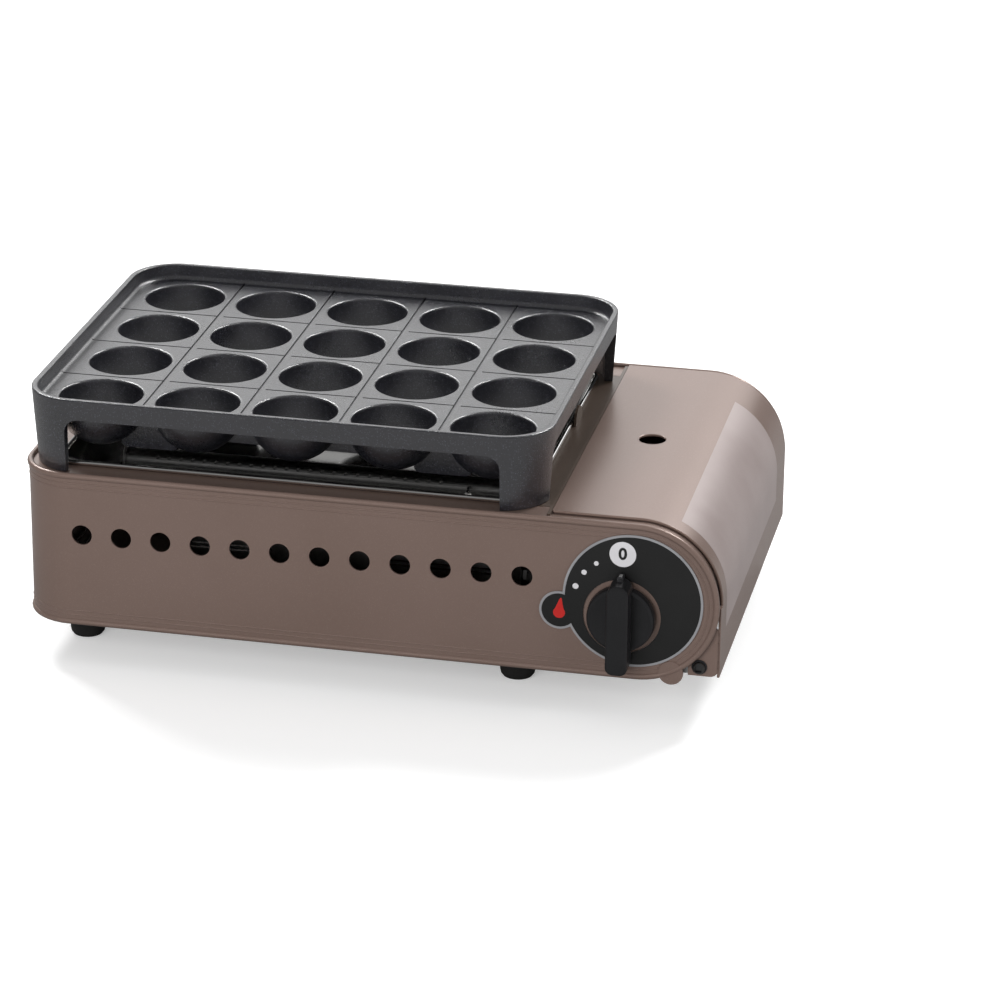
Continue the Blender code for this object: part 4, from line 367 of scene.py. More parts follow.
def makeFinish(name, look):
    material = bpy.data.materials.new(name)
    material.use_nodes = True
    tree = material.node_tree
    shader = tree.nodes["Principled BSDF"]
    shader.inputs["Metallic"].default_value = look.get("metallic", 0)
    shader.inputs["Coat Weight"].default_value = look.get("coat", 0)
    shader.inputs["Coat Roughness"].default_value = look.get("coatRoughness", 0.1)
    shader.inputs["IOR"].default_value = look.get("ior", 1.5)
    grain = addEffect(tree, "grain", {"Cloud scale": look["cloud"], "Grain scale": look["grain"]})
    colour = mixColour(tree, grain["Cloud"], look["colour"], look["tint"])
    height = grain["Grain"]
    if "specks" in look:
        scale, radius, share = look["specks"]
        specks = addEffect(tree, "specks", {"Scale": scale, "Radius": radius, "Share": share})
        colour = mixColour(tree, specks, colour, look["speckColour"])
        height = mathNode(tree, "ADD", height, specks)
    if "lines" in look:
        lines = addEffect(tree, "lines", {"Scale": look["lines"]})
        height = mathNode(tree, "ADD", height, lines)
    # Painted reflection: faces that point straight up take a dark colour that stands for the dark
    # reflection of the parts above them
    if "floorColour" in look:
        shape = tree.nodes.new("ShaderNodeNewGeometry")
        parts = tree.nodes.new("ShaderNodeSeparateXYZ")    # level faces of the metal get a painted dark reflection
        tree.links.new(shape.outputs["Normal"], parts.inputs["Vector"])
        flat = rangeNode(tree, parts.outputs["Z"], 0.93, 0.99)
        colour = mixColour(tree, flat, colour, look["floorColour"])
    if "wear" in look:
        start, stop = look["wear"]
        values = {"Start": start, "End": stop, "Break scale": look["cloud"] * 6}
        colour = mixColour(tree, addEffect(tree, "wear", values), colour, look["wearColour"])
    tree.links.new(colour, shader.inputs["Base Color"])
    rough = look["rough"]
    spread = look.get("roughSpread", 0.05)
    blend = mathNode(tree, "MULTIPLY", mathNode(tree, "ADD", grain["Grain"], grain["Cloud"]), 0.5)
    roughness = rangeNode(tree, blend, 0, 1, rough - spread, rough + spread)
    tree.links.new(roughness, shader.inputs["Roughness"])
    bump = tree.nodes.new("ShaderNodeBump")
    bump.inputs["Strength"].default_value = look.get("bump", 0.1)
    bump.inputs["Distance"].default_value = look.get("bumpDepth", 0.1) * mm
    tree.links.new(height, bump.inputs["Height"])
    tree.links.new(bump.outputs["Normal"], shader.inputs["Normal"])
    return material


# A finish per slot of the CAD pieces, and some for the pieces made here
looks = {
    "body_paint": ("brown metallic paint", {
        "colour": (0.205, 0.142, 0.118), "tint": (0.222, 0.155, 0.131), "metallic": 0.35, "rough": 0.36,
        "roughSpread": 0.04, "cloud": 14, "grain": 900, "specks": (2600, 0.22, 0.35),
        "speckColour": (0.33, 0.25, 0.22), "coat": 0.25, "coatRoughness": 0.22, "bump": 0.06}),
    "dark_paint": ("dark brown paint", {
        "colour": (0.085, 0.060, 0.045), "tint": (0.100, 0.072, 0.055), "metallic": 0.3, "rough": 0.4,
        "cloud": 18, "grain": 900, "bump": 0.06, "coat": 0.2, "coatRoughness": 0.25}),
    "cast_coating": ("sandy non-stick coat", {
        "colour": (0.007, 0.007, 0.010), "tint": (0.011, 0.011, 0.015), "ior": 2.2, "rough": 0.31,
        "roughSpread": 0.06, "cloud": 22, "grain": 1100, "specks": (1300, 0.34, 0.34),
        "speckColour": (0.060, 0.062, 0.078), "bump": 0.5, "bumpDepth": 0.16}),
    "bright_chrome": ("bright chrome", {
        # level faces take a painted dark reflection
        "colour": (0.78, 0.77, 0.76), "tint": (0.70, 0.69, 0.67), "floorColour": (0.07, 0.068, 0.065),
        "metallic": 1, "rough": 0.08, "roughSpread": 0.04, "cloud": 30, "grain": 500, "bump": 0.03}),
    "zinc_plate": ("zinc plated sheet", {
        "colour": (0.46, 0.46, 0.46), "tint": (0.56, 0.555, 0.54), "metallic": 1, "rough": 0.38,
        "roughSpread": 0.1, "cloud": 45, "grain": 700, "lines": 1500, "bump": 0.08}),
    "screw_steel": ("plated screw steel", {
        "colour": (0.50, 0.50, 0.51), "tint": (0.60, 0.60, 0.60), "metallic": 1, "rough": 0.28,
        "cloud": 200, "grain": 1400, "bump": 0.05}),
    "brass": ("turned brass", {
        "colour": (0.58, 0.42, 0.17), "tint": (0.64, 0.48, 0.22), "metallic": 1, "rough": 0.3,
        "cloud": 120, "grain": 1400, "lines": 2500, "bump": 0.06}),
    "black_plastic": ("moulded black plastic", {
        "colour": (0.006, 0.006, 0.007), "tint": (0.010, 0.010, 0.011), "rough": 0.34, "cloud": 40,
        "grain": 2200, "bump": 0.12, "bumpDepth": 0.05, "wear": (0.54, 0.68),
        "wearColour": (0.035, 0.035, 0.037)}),
    "black_rubber": ("black rubber", {
        "colour": (0.013, 0.013, 0.013), "tint": (0.022, 0.021, 0.020), "rough": 0.75, "cloud": 60,
        "grain": 1200, "bump": 0.3, "bumpDepth": 0.1}),
    "dial_black": ("satin black dial", {
        "colour": (0.008, 0.008, 0.008), "tint": (0.011, 0.011, 0.011), "rough": 0.38, "cloud": 30,
        "grain": 1800, "bump": 0.05}),
    "white_plastic": ("white moulded plastic", {
        "colour": (0.78, 0.77, 0.74), "tint": (0.72, 0.71, 0.67), "rough": 0.4, "cloud": 60,
        "grain": 1500, "bump": 0.06}),
    "white_ceramic": ("glazed ceramic", {
        "colour": (0.80, 0.79, 0.76), "tint": (0.74, 0.72, 0.68), "rough": 0.2, "cloud": 80,
        "grain": 1200, "bump": 0.05, "coat": 0.5, "coatRoughness": 0.08}),
    "dark_screw": ("blackened screw steel", {
        "colour": (0.10, 0.10, 0.10), "tint": (0.15, 0.15, 0.15), "metallic": 1, "rough": 0.35,
        "cloud": 200, "grain": 1400, "bump": 0.05}),
    "dial_edge": ("silver dial edge", {
        "colour": (0.42, 0.42, 0.44), "tint": (0.50, 0.50, 0.52), "metallic": 0.6, "rough": 0.35,
        "cloud": 60, "grain": 1500, "bump": 0.04}),
    "white_print": ("white print", {
        "colour": (0.66, 0.65, 0.67), "tint": (0.61, 0.60, 0.62), "rough": 0.45, "cloud": 90,
        "grain": 2500, "bump": 0.05}),
    "red_print": ("red print", {
        "colour": (0.56, 0.022, 0.019), "tint": (0.50, 0.019, 0.016), "rough": 0.45, "cloud": 90,
        "grain": 2500, "bump": 0.05}),
    "plain_panel": ("plain printed panel", {
        "colour": (0.300, 0.245, 0.235), "tint": (0.340, 0.285, 0.275), "metallic": 0.15, "rough": 0.42,
        "cloud": 35, "grain": 1200, "bump": 0.05}),
}
finishes = {slot: makeFinish(*look) for slot, look in looks.items()}
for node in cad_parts.values():
    slots = [m.name.split(".")[0] for m in node.data.materials]
    for index, slotName in enumerate(slots):
        node.data.materials[index] = finishes[slotName]
print("finishes made")

# The cast plate
plate = {
    "corner": 25 * mm, "draft": 2 * mm, "rim": 3 * mm, "lipRound": 0.9 * mm, "rimHeight": 7.8 * mm,
    "rimSlope": 0.25 * mm, "fillet": 2.4 * mm, "floor": 2.6 * mm, "skirt": 10.5 * mm,
    "legWide": 20.5 * mm, "legThick": 4.5 * mm, "soft": 0.5 * mm, "webRound": 3 * mm,
    "archRound": 7 * mm, "columns": 5, "rows": 4, "sideMargin": 7.6 * mm, "endMargin": 7.2 * mm,
    "pitRadius": 20.4 * mm, "pitDrop": 2.2 * mm, "pitWall": 2.2 * mm, "pitLip": 1.3 * mm,
    "webThick": 2.2 * mm, "deepWeb": 23.5 * mm, "shallowWeb": 16.5 * mm,
    "grooveWide": 1.0 * mm, "grooveDeep": 0.8 * mm, "rowStart": 3 * mm, "rowEnd": 0.25 * mm,
    "over": 5 * mm,
}


def insetWalk(form, face, steps):
    for across, down in steps:
        bmesh.ops.inset_region(form, faces=[face], thickness=across, depth=-down, use_even_offset=True,
                               use_boundary=True)


def makePlate():
    low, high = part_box("takoyaki_plate")
    middle = (low + high) / 2
    halfSize = (high - low) / 2
    form = roundedBlock(low, high, 2, plate["corner"], 14)
    share = Vector((1 - plate["draft"] / halfSize.x, 1 - plate["draft"] / halfSize.y, 1))
    lowRing = [v for v in form.verts if v.co.z < middle.z]
    bmesh.ops.scale(form, vec=share, verts=lowRing, space=Matrix.Translation(-middle))
    top = max(form.faces, key=lambda f: f.calc_center_median().z)
    roundEdges(form, list(top.edges), plate["lipRound"], 4)
    top = max(form.faces, key=lambda f: f.calc_center_median().z + f.calc_area())
    r = plate["lipRound"]
    flat = plate["rim"] - 2 * r
    steps = [(flat, 0)]
    lip = quarter(0, 0, r, 90, 0, 4)
    steps += [(b[0] - a[0], a[1] - b[1]) for a, b in zip(lip, lip[1:])]
    f = plate["fillet"]
    steps.append((plate["rimSlope"], plate["rimHeight"] - r - f))
    bend = quarter(0, 0, f, 180, 270, 6)
    steps += [(b[0] - a[0], a[1] - b[1]) for a, b in zip(bend, bend[1:])]
    insetWalk(form, top, steps)
    item = objectFrom("plate", form)
    floorTop = high.z - plate["rimHeight"]
    under = floorTop - plate["floor"]
    over = plate["over"]
    gap = plate["draft"] + plate["legThick"]
    hollow = roundedBlock((low.x + gap, low.y + gap, low.z - over),
                          (high.x - gap, high.y - gap, under), 2, plate["corner"] - gap, 12)
    solve(item, [hollow], "DIFFERENCE")
    archTop = high.z - plate["skirt"]
    inX = halfSize.x - plate["draft"] - plate["legWide"]
    inY = halfSize.y - plate["draft"] - plate["legWide"]
    across = roundedBlock((middle.x - inX, low.y - over, low.z - over),
                          (middle.x + inX, high.y + over, archTop), 1, plate["archRound"], 8,
                          lambda p: p.z > middle.z)
    back = roundedBlock((low.x - over, middle.y - inY, low.z - over),
                        (high.x + over, middle.y + inY, archTop), 0, plate["archRound"], 8,
                        lambda p: p.z > middle.z)
    solve(item, [across], "DIFFERENCE")
    solve(item, [back], "DIFFERENCE")
    softenEdges(item, plate["soft"], 3, 50)

    pitchX = ((high.x - low.x) - 2 * plate["sideMargin"]) / plate["columns"]
    pitchY = ((high.y - low.y) - 2 * plate["endMargin"]) / plate["rows"]
    centreZ = floorTop - plate["pitDrop"]
    radius = plate["pitRadius"]
    outer = radius + plate["pitWall"]
    lipR = plate["pitLip"]
    drop = plate["pitDrop"]
    seat = floorTop - plate["floor"] / 2 - centreZ
    bowlLine = [(0, seat), (outer, seat)] + quarter(0, 0, outer, 0, -90, 14)
    pitLine = [(0, drop + over), (radius + lipR, drop + over)]
    pitLine += quarter(radius + lipR, drop - lipR, lipR, 90, 180, 5)
    pitLine += quarter(0, 0, radius, 0, -90, 18)
    bowls, pits, webs = [], [], []
    for row in range(plate["rows"]):
        for column in range(plate["columns"]):
            x = middle.x + (column - (plate["columns"] - 1) / 2) * pitchX
            y = middle.y + (row - (plate["rows"] - 1) / 2) * pitchY
            bowls.append(spun(bowlLine, (x, y, centreZ)))
            pits.append(spun(pitLine, (x, y, centreZ)))
            if column == plate["columns"] - 1 or 0 < row < plate["rows"] - 1:
                continue
            deep = plate["deepWeb"] if column in (0, plate["columns"] - 2) else plate["shallowWeb"]
            half = plate["webThick"] / 2
            web = roundedBlock((x + radius / 2, y - half, under - deep),
                               (x + pitchX - radius / 2, y + half, floorTop - plate["floor"] / 2), 1,
                               plate["webRound"], 3, lambda p: p.z < under - deep / 2)
            webs.append(web)
    solve(item, bowls, "UNION")
    solve(item, webs, "UNION")
    solve(item, pits, "DIFFERENCE")
    lowZ = floorTop - plate["grooveDeep"]
    half = plate["grooveWide"] / 2
    reachX = (high.x - low.x) / 2 - plate["rim"] - 0.5 * plate["fillet"]
    reachY = (high.y - low.y) / 2 - plate["rim"] - 0.5 * plate["fillet"]
    lines = [middle.x + (n - plate["columns"] / 2) * pitchX for n in range(1, plate["columns"])]
    columns = [block((x - half, middle.y - reachY, lowZ), (x + half, middle.y + reachY, floorTop + over))
               for x in lines]
    starts = [middle.x - reachX] + [x + plate["rowStart"] for x in lines]
    ends = [x - plate["rowEnd"] for x in lines] + [middle.x + reachX]
    rows = []
    for n in range(1, plate["rows"]):
        y = middle.y + (n - plate["rows"] / 2) * pitchY
        rows += [block((x0, y - half, lowZ), (x1, y + half, floorTop + over))
                 for x0, x1 in zip(starts, ends)]
    solve(item, columns, "DIFFERENCE")
    solve(item, rows, "DIFFERENCE")
    dress(item, "castPlate", finishes["cast_coating"], "plate", ["takoyaki_plate"], 28)


makePlate()
print("cast plate made")

# The body band with its beads, ledge, vents and half-round ends
band = {
    "bead": 1.6 * mm, "sheet": 1.2 * mm, "corner": 25 * mm, "ledge": 15 * mm, "ledgeDrop": 1.65 * mm,
    "ventRadius": 5.1 * mm, "ventFirst": 33.3 * mm, "ventPitch": 19.9 * mm, "ventCount": 12,
    "ventRise": 48 * mm, "ridge": 0.42 * mm, "ridgeInset": (3.6 * mm, 6.0 * mm), "flangeEnd": 124,
    "lobeRadius": 6 * mm, "lobeX": 17.5 * mm, "lobeDrop": 0.7 * mm, "lobeRound": 0.3 * mm,
    "endInset": 40.5 * mm, "spindleHole": 5.2 * mm, "ridgeSink": 0.15 * mm, "soft": 0.22 * mm,
    "ledgeSoft": 0.3 * mm, "over": 6 * mm,
}
bodyLow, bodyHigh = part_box("body_shell")
coverLow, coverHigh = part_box("container_cover")
hubLow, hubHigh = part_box("spindle")
hub = (hubLow + hubHigh) / 2
endRadius = (bodyHigh.z - bodyLow.z - band["lobeDrop"]) / 2
end = Vector((coverHigh.x - band["endInset"], 0, bodyHigh.z - endRadius))
skinFront = bodyLow.y + band["bead"]
skinRear = bodyHigh.y - band["bead"]


# The bead's line, drawn in by some amount, on the front and rear skins
def endLine(inset, start, stop, steps):
    return quarter(end.x, end.z, endRadius - band["bead"] - inset, start, stop, steps)


def beadLine(inset, out):
    left = bodyLow.x + band["bead"] - out
    radius = band["corner"] - band["bead"] + out
    front, rear = skinFront - out, skinRear + out
    rise = endLine(inset, -90, 90, 40)
    top = end.z + endRadius - band["bead"] - inset
    bottom = end.z - endRadius + band["bead"] + inset
    cornerRear = quarter(left + radius, rear - radius, radius, 90, 180, 10)
    cornerFront = quarter(left + radius, front + radius, radius, 180, 270, 10)
    plan = cornerRear + cornerFront
    line = [(x, front, z) for x, z in rise]
    line += [(x, y, top) for x, y in plan[::-1]]
    line += [(x, rear, z) for x, z in rise[::-1]]
    line += [(x, y, bottom) for x, y in plan]
    return line


def planBlock(inset, lowZ, highZ, right):
    low = (bodyLow.x + inset, bodyLow.y + inset, lowZ)
    high = (right, bodyHigh.y - inset, highZ)
    return roundedBlock(low, high, 2, band["corner"] - inset, 14, lambda p: p.x < 0)


def makeBand():
    over = band["over"]
    half = band["sheet"] / 2
    top = bodyHigh.z - band["bead"]
    bottom = end.z - endRadius + band["bead"]
    side = roundedBlock((bodyLow.x - over, bodyLow.y, bottom),
                        (end.x + endRadius - band["bead"], bodyHigh.y, top),
                        1, endRadius - band["bead"] - near, 40, lambda p: p.x > 0)
    item = objectFrom("band", side)
    outer = planBlock(band["bead"] - half, bottom - over, top + over, bodyHigh.x + 3 * over)
    inner = planBlock(band["bead"] + half, bottom - 2 * over, top + 2 * over, bodyHigh.x + 4 * over)
    solve(item, [outer], "INTERSECT")
    solve(item, [inner], "DIFFERENCE")
    vents = []
    ventZ = end.z - endRadius + band["ventRise"]
    for n in range(band["ventCount"]):
        x = bodyLow.x + band["ventFirst"] + n * band["ventPitch"]
        vents.append(rodBack(x, ventZ, bodyLow.y - over, bodyHigh.y + over, band["ventRadius"], 40))
    solve(item, vents, "DIFFERENCE")
    hole = rodBack(hub.x, hub.z, bodyLow.y - over, skinFront + over, band["spindleHole"], 32)
    solve(item, [hole], "DIFFERENCE")
    softenEdges(item, band["soft"], 2, 45)
    ledgeTop = bodyHigh.z - band["ledgeDrop"]
    ledge = objectFrom("ledge", planBlock(band["bead"], ledgeTop - band["sheet"], ledgeTop, end.x))
    inside = planBlock(band["bead"] + band["ledge"], ledgeTop - over, ledgeTop + over, end.x + over)
    solve(ledge, [inside], "DIFFERENCE")
    softenEdges(ledge, band["ledgeSoft"], 2, 45)
    forms = [formFrom(ledge)]
    flange = ledgeTop - end.z
    for low, high in ((skinFront + half / 2, skinFront + band["ledge"]),
                      (skinRear - band["ledge"], skinRear - half / 2)):
        strip = bmesh.new()
        corners = [strip.verts.new((end.x, y, end.z + r)) for r, y in (
            (flange, low), (flange, high),
            (flange - band["sheet"], high), (flange - band["sheet"], low))]
        face = strip.faces.new(corners)
        bmesh.ops.spin(strip, geom=[face] + list(face.edges) + corners, cent=end, axis=(0, 1, 0),
                       dvec=(0, 0, 0), angle=math.radians(band["flangeEnd"]), steps=40)
        bmesh.ops.remove_doubles(strip, verts=strip.verts, dist=near)
        bmesh.ops.recalc_face_normals(strip, faces=strip.faces)
        forms.append(strip)
    for low, high in ((skinFront - band["sheet"], skinFront + half / 2),
                      (skinRear - half / 2, skinRear + band["sheet"])):
        x = end.x + band["lobeX"]
        z = bodyLow.z + band["lobeRadius"]
        lobe = rodBack(x, z, low, high, band["lobeRadius"])
        roundEdges(lobe, [e for e in lobe.edges if not along(e, 1)], band["lobeRound"], 2)
        forms.append(lobe)
    forms.append(wire("bead", beadLine(0, 0), band["bead"], True))
    for inset in band["ridgeInset"]:
        forms.append(wire("ridge", beadLine(inset, half - band["ridgeSink"]), band["ridge"], True, 3))
    addForms(item, forms)
    dress(item, "bodyBand", finishes["body_paint"], "body", ["body_shell"])


makeBand()
print("body band made")

# The hinged cover of the canister bay
cover = {
    "sheet": 1.2 * mm, "curve": 40.5 * mm, "frontStep": 6 * mm, "sightX": 30 * mm, "sightY": 108 * mm,
    "sightRadius": 7 * mm, "hem": 0.75 * mm, "earReach": 5.5 * mm, "earTop": 52 * mm,
    "earCurve": 38.95 * mm,
    "hingeIn": 9.7 * mm, "hingeZ": 30.8 * mm, "holeRadius": 3.2 * mm, "panelInset": 10 * mm,
    "panelStart": 26, "panelLow": 46 * mm, "panelLift": 0.03 * mm, "panelDrop": 0.5 * mm,
    "earRound": 4.5 * mm, "soft": 0.3 * mm, "rimRadius": 0.62 * mm, "rimSink": 0.55 * mm,
    "rimOut": 0.2 * mm,
}


def makeCover():
    low, high = coverLow, coverHigh
    over = band["over"]
    form = roundedBlock(low, high, 1, cover["curve"], 40, lambda p: p.x > end.x and p.z > end.z)
    gone = [f for f in form.faces if f.normal.z < -0.9 or f.normal.x < -0.9 or abs(f.normal.y) > 0.9]
    bmesh.ops.delete(form, geom=gone, context="FACES")
    bmesh.ops.solidify(form, geom=list(form.faces), thickness=cover["sheet"])
    bmesh.ops.recalc_face_normals(form, faces=form.faces)
    item = objectFrom("cover", form)
    step = block((low.x - over, low.y - over, high.z - cover["curve"]),
                 (high.x + over, low.y + cover["frontStep"], high.z + over))
    solve(item, [step], "DIFFERENCE")
    sightX = low.x + cover["sightX"]
    sightY = low.y + cover["sightY"]
    sight = rod((sightX, sightY, high.z - over), (sightX, sightY, high.z + over),
                cover["sightRadius"], 64)
    solve(item, [sight], "DIFFERENCE")
    hingeX = high.x - cover["hingeIn"]
    for face, inward in ((low.y, 1), (high.y, -1)):
        y0, y1 = sorted((face, face + inward * cover["sheet"]))
        ear = roundedBlock((hingeX - cover["earReach"], y0, low.z),
                           (high.x - cover["sheet"] / 4, y1, cover["earTop"]), 1, cover["earRound"], 6,
                           lambda p: p.z < end.z and p.x > hingeX)
        part = objectFrom("ear", ear)
        for x, z, radius, steps in ((end.x, end.z, cover["earCurve"], 128),
                                    (hingeX, cover["hingeZ"], cover["holeRadius"], 40)):
            solve(part, [rodBack(x, z, y0 - over, y1 + over, radius, steps)], "DIFFERENCE")
        addForms(item, [formFrom(part)])
    softenEdges(item, cover["soft"], 2, 45)
    hemY = low.y + cover["frontStep"]
    inset = cover["hem"]
    curve = quarter(end.x, high.z - cover["curve"], cover["curve"] - inset, 90, 0, 30)
    hem = [(low.x + inset, hemY, high.z - inset)] + [(x, hemY, z) for x, z in curve]
    rear = [(x, high.y - inset, z) for x, _, z in hem]
    rim = [(sightX + r * math.cos(t), sightY + r * math.sin(t), high.z - cover["rimSink"])
           for r, t in ((cover["sightRadius"] + cover["rimOut"], math.tau * n / 48) for n in range(48))]
    addForms(item, [wire("hem", hem, inset), wire("hem", rear, inset),
                    wire("rim", rim, cover["rimRadius"], True, 3)])
    dress(item, "canisterCover", finishes["body_paint"], "cover", ["container_cover"])


makeCover()


# A bare printed panel on the cover's curve
def makePanel():
    low, high = coverLow, coverHigh
    form = bmesh.new()
    radius = cover["curve"] + cover["panelLift"]
    centreZ = end.z - cover["panelDrop"]
    turn = math.radians(90 - cover["panelStart"])
    start = low.y + cover["frontStep"] + cover["panelInset"]
    stop = high.y - 3 * cover["panelInset"]
    line = [form.verts.new((end.x + radius * math.cos(turn), y, centreZ + radius * math.sin(turn)))
            for y in (start, stop)]
    edge = form.edges.new(line)
    bmesh.ops.spin(form, geom=line + [edge], cent=(end.x, 0, centreZ), axis=(0, 1, 0), dvec=(0, 0, 0),
                   angle=turn, steps=24)
    last = [v for v in form.verts if abs(v.co.z - centreZ) < 5 * near]
    edges = [e for e in form.edges if all(v in last for v in e.verts)]
    out = bmesh.ops.extrude_edge_only(form, edges=edges)
    moved = [v for v in out["geom"] if isinstance(v, bmesh.types.BMVert)]
    bmesh.ops.translate(form, vec=(0, 0, cover["panelLow"] - end.z), verts=moved)
    bmesh.ops.remove_doubles(form, verts=form.verts, dist=near)
    bmesh.ops.recalc_face_normals(form, faces=form.faces)
    if sum(f.normal.x for f in form.faces) < 0:
        bmesh.ops.reverse_faces(form, faces=form.faces)
    item = objectFrom("panel", form)
    dress(item, "coverPanel", finishes["plain_panel"], "cover")


makePanel()
print("cover made")

# Dial, printed marks and knob
dial = {
    "radius": 33.8 * mm, "lobeRadius": 9.7 * mm, "lobeReach": 35.3 * mm, "lobeDrop": 8.0 * mm,
    "well": 18.8 * mm, "edge": 1.15 * mm, "proud": 0.12 * mm, "neck": 1.6 * mm, "soft": 0.12 * mm,
    "discX": 126.8 * mm, "discZ": 86.4 * mm, "discRadius": 6.4 * mm, "figure": 8.2 * mm,
    "dots": ((114.2 * mm, 80.6 * mm, 1.15 * mm), (108.4 * mm, 75.5 * mm, 1.3 * mm),
             (104.4 * mm, 68.0 * mm, 1.45 * mm)),
    "flame": 11.5 * mm, "flameDrop": 1.2 * mm, "flameLean": 0.8 * mm,
    "bold": 0.25 * mm, "ink": 0.02 * mm,
}
dialLow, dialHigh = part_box("dial_plate")
knobLow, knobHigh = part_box("knob")
dialCentre = Vector((dialHigh.x - dial["radius"], 0, dialHigh.z - dial["radius"]))
lobeCentre = Vector((dialCentre.x - dial["lobeReach"], 0, dialCentre.z - dial["lobeDrop"]))


# The dial's outline, drawn in by some amount, with the knob's well cut out
def keyhole(name, inset, low, high):
    over = band["over"]
    disc = rodBack(dialCentre.x, dialCentre.z, low, high, dial["radius"] - inset, 128)
    lobe = rodBack(lobeCentre.x, lobeCentre.z, low, high, dial["lobeRadius"] - inset, 64)
    item = solve(objectFrom(name, disc), [lobe], "UNION")
    solve(item, [rodBack(hub.x, hub.z, low - over, high + over, dial["well"], 96)], "DIFFERENCE")
    form = bmesh.new()
    form.from_mesh(item.data)
    inner = [e for e in form.edges if along(e, 1) and e.calc_face_angle_signed(0) < -0.5]
    roundEdges(form, inner, dial["neck"], 5)
    form.to_mesh(item.data)
    form.free()
    return item


def makeDial():
    low, high = dialLow.y, dialHigh.y
    edge = keyhole("dialEdge", 0, low + dial["proud"], high)
    softenEdges(edge, dial["soft"], 2, 60)
    dress(edge, "dialEdge", finishes["dial_edge"], "body", ["dial_plate"])
    face = keyhole("dialFace", dial["edge"], low + dial["proud"] / 3, low + 2 * dial["proud"])
    dress(face, "dialFace", finishes["dial_black"], "body", ())


def flatMark(name, form, material):
    bmesh.ops.recalc_face_normals(form, faces=form.faces)
    item = objectFrom(name, form)
    dress(item, name, material, "body")


def makeMarks():
    front = dialLow.y
    back = dialLow.y + dial["proud"]
    disc = rodBack(dial["discX"], dial["discZ"], back, front, dial["discRadius"], 64)
    flatMark("offDisc", disc, finishes["white_print"])
    dots = [rodBack(x, z, back, front, r, 32) for x, z, r in dial["dots"]]
    flatMark("flowDots", merge(dots), finishes["white_print"])
    words = bpy.data.curves.new("figure", "FONT")
    words.body = "0"
    words.size = dial["figure"]
    words.align_x = "CENTER"
    words.align_y = "CENTER"
    words.offset = dial["bold"]
    words.extrude = dial["ink"]
    form = curveForm("figure", words)
    upright = Matrix.Rotation(math.pi / 2, 3, "X")
    bmesh.ops.rotate(form, cent=(0, 0, 0), matrix=upright, verts=form.verts)
    bmesh.ops.translate(form, vec=(dial["discX"], front - dial["ink"], dial["discZ"]), verts=form.verts)
    flatMark("offFigure", form, finishes["dial_black"])
    flame = rodBack(lobeCentre.x, lobeCentre.z - dial["flameDrop"], back, front, dial["flame"] / 4)
    tip = max(v.co.z for v in flame.verts)
    for v in flame.verts:
        rise = max(0, (v.co.z - lobeCentre.z) / (tip - lobeCentre.z))
        v.co.z += rise ** 2 * dial["flame"] * 0.42
        across = (v.co.x - lobeCentre.x) * (1 - 0.35 * rise)    # narrower, and leaning, towards the tip
        v.co.x = lobeCentre.x + across + rise ** 2 * dial["flameLean"]
    flatMark("flameMark", flame, finishes["red_print"])


knob = {
    "radius": 16.6 * mm, "base": 5 * mm, "grip": 10.7 * mm, "up": 21 * mm, "down": 25 * mm,
    "gripSunk": 1.5 * mm, "gripRound": 1.1 * mm, "tailRound": 3.6 * mm,
    "tabWide": 2.7 * mm, "tabRise": 2 * mm, "tabLong": 7 * mm, "tabRound": 0.5 * mm,
    "markHalf": 0.75 * mm, "markProud": 0.04 * mm,
}


def makeKnob():
    back = knobHigh.y
    r = knob["radius"]
    base = knob["base"]
    profile = [(0, 0), (r - 0.6 * mm, 0)] + quarter(r - 0.6 * mm, 0.6 * mm, 0.6 * mm, -90, 0, 3)
    profile += [(r - 0.3 * mm, base - 1.8 * mm)]
    profile += quarter(r - 1.9 * mm, base - 1.6 * mm, 1.6 * mm, 10, 90, 5)
    profile += [(r - 4.5 * mm, base - 0.4 * mm), (0, base - 0.9 * mm)]
    item = objectFrom("knob", spun(profile, (hub.x, back, hub.z), (0, -1, 0), 96))
    half = knob["grip"] / 2
    grip = block((hub.x - half, knobLow.y, hub.z - knob["down"]),
                 (hub.x + half, back - knob["gripSunk"], hub.z + knob["up"]))
    upper = [e for e in grip.edges if along(e, 1) and e.verts[0].co.z > hub.z]
    roundEdges(grip, upper, half - 0.1 * mm, 10)
    lower = [e for e in grip.edges if along(e, 1) and e.verts[0].co.z < hub.z - knob["down"] + 0.1 * mm]
    roundEdges(grip, lower, knob["tailRound"], 8)
    front = [f for f in grip.faces if f.normal.y < -0.9]
    edges = {e for f in front for e in f.edges}
    roundEdges(grip, list(edges), knob["gripRound"], 4)
    tab = block((hub.x - knob["tabWide"] / 2, back - knob["tabLong"], hub.z + knob["up"] - 2 * mm),
                (hub.x + knob["tabWide"] / 2, back - 0.8 * mm, hub.z + knob["up"] + knob["tabRise"]))
    roundEdges(tab, list(tab.edges), knob["tabRound"], 3)
    tip = hub.z + knob["up"] + knob["tabRise"]
    window = block((hub.x - knob["markHalf"], back - knob["tabLong"] + 1.5 * mm, tip - 0.3 * mm),
                   (hub.x + knob["markHalf"], back - 2.2 * mm, tip + knob["markProud"]))
    addForms(item, [grip, tab])
    dress(item, "knobGrip", finishes["black_plastic"], "control", ["knob"])
    mark = objectFrom("mark", window)
    dress(mark, "knobMark", finishes["zinc_plate"], "control")


makeDial()
makeMarks()
makeKnob()
print("dial and knob made")

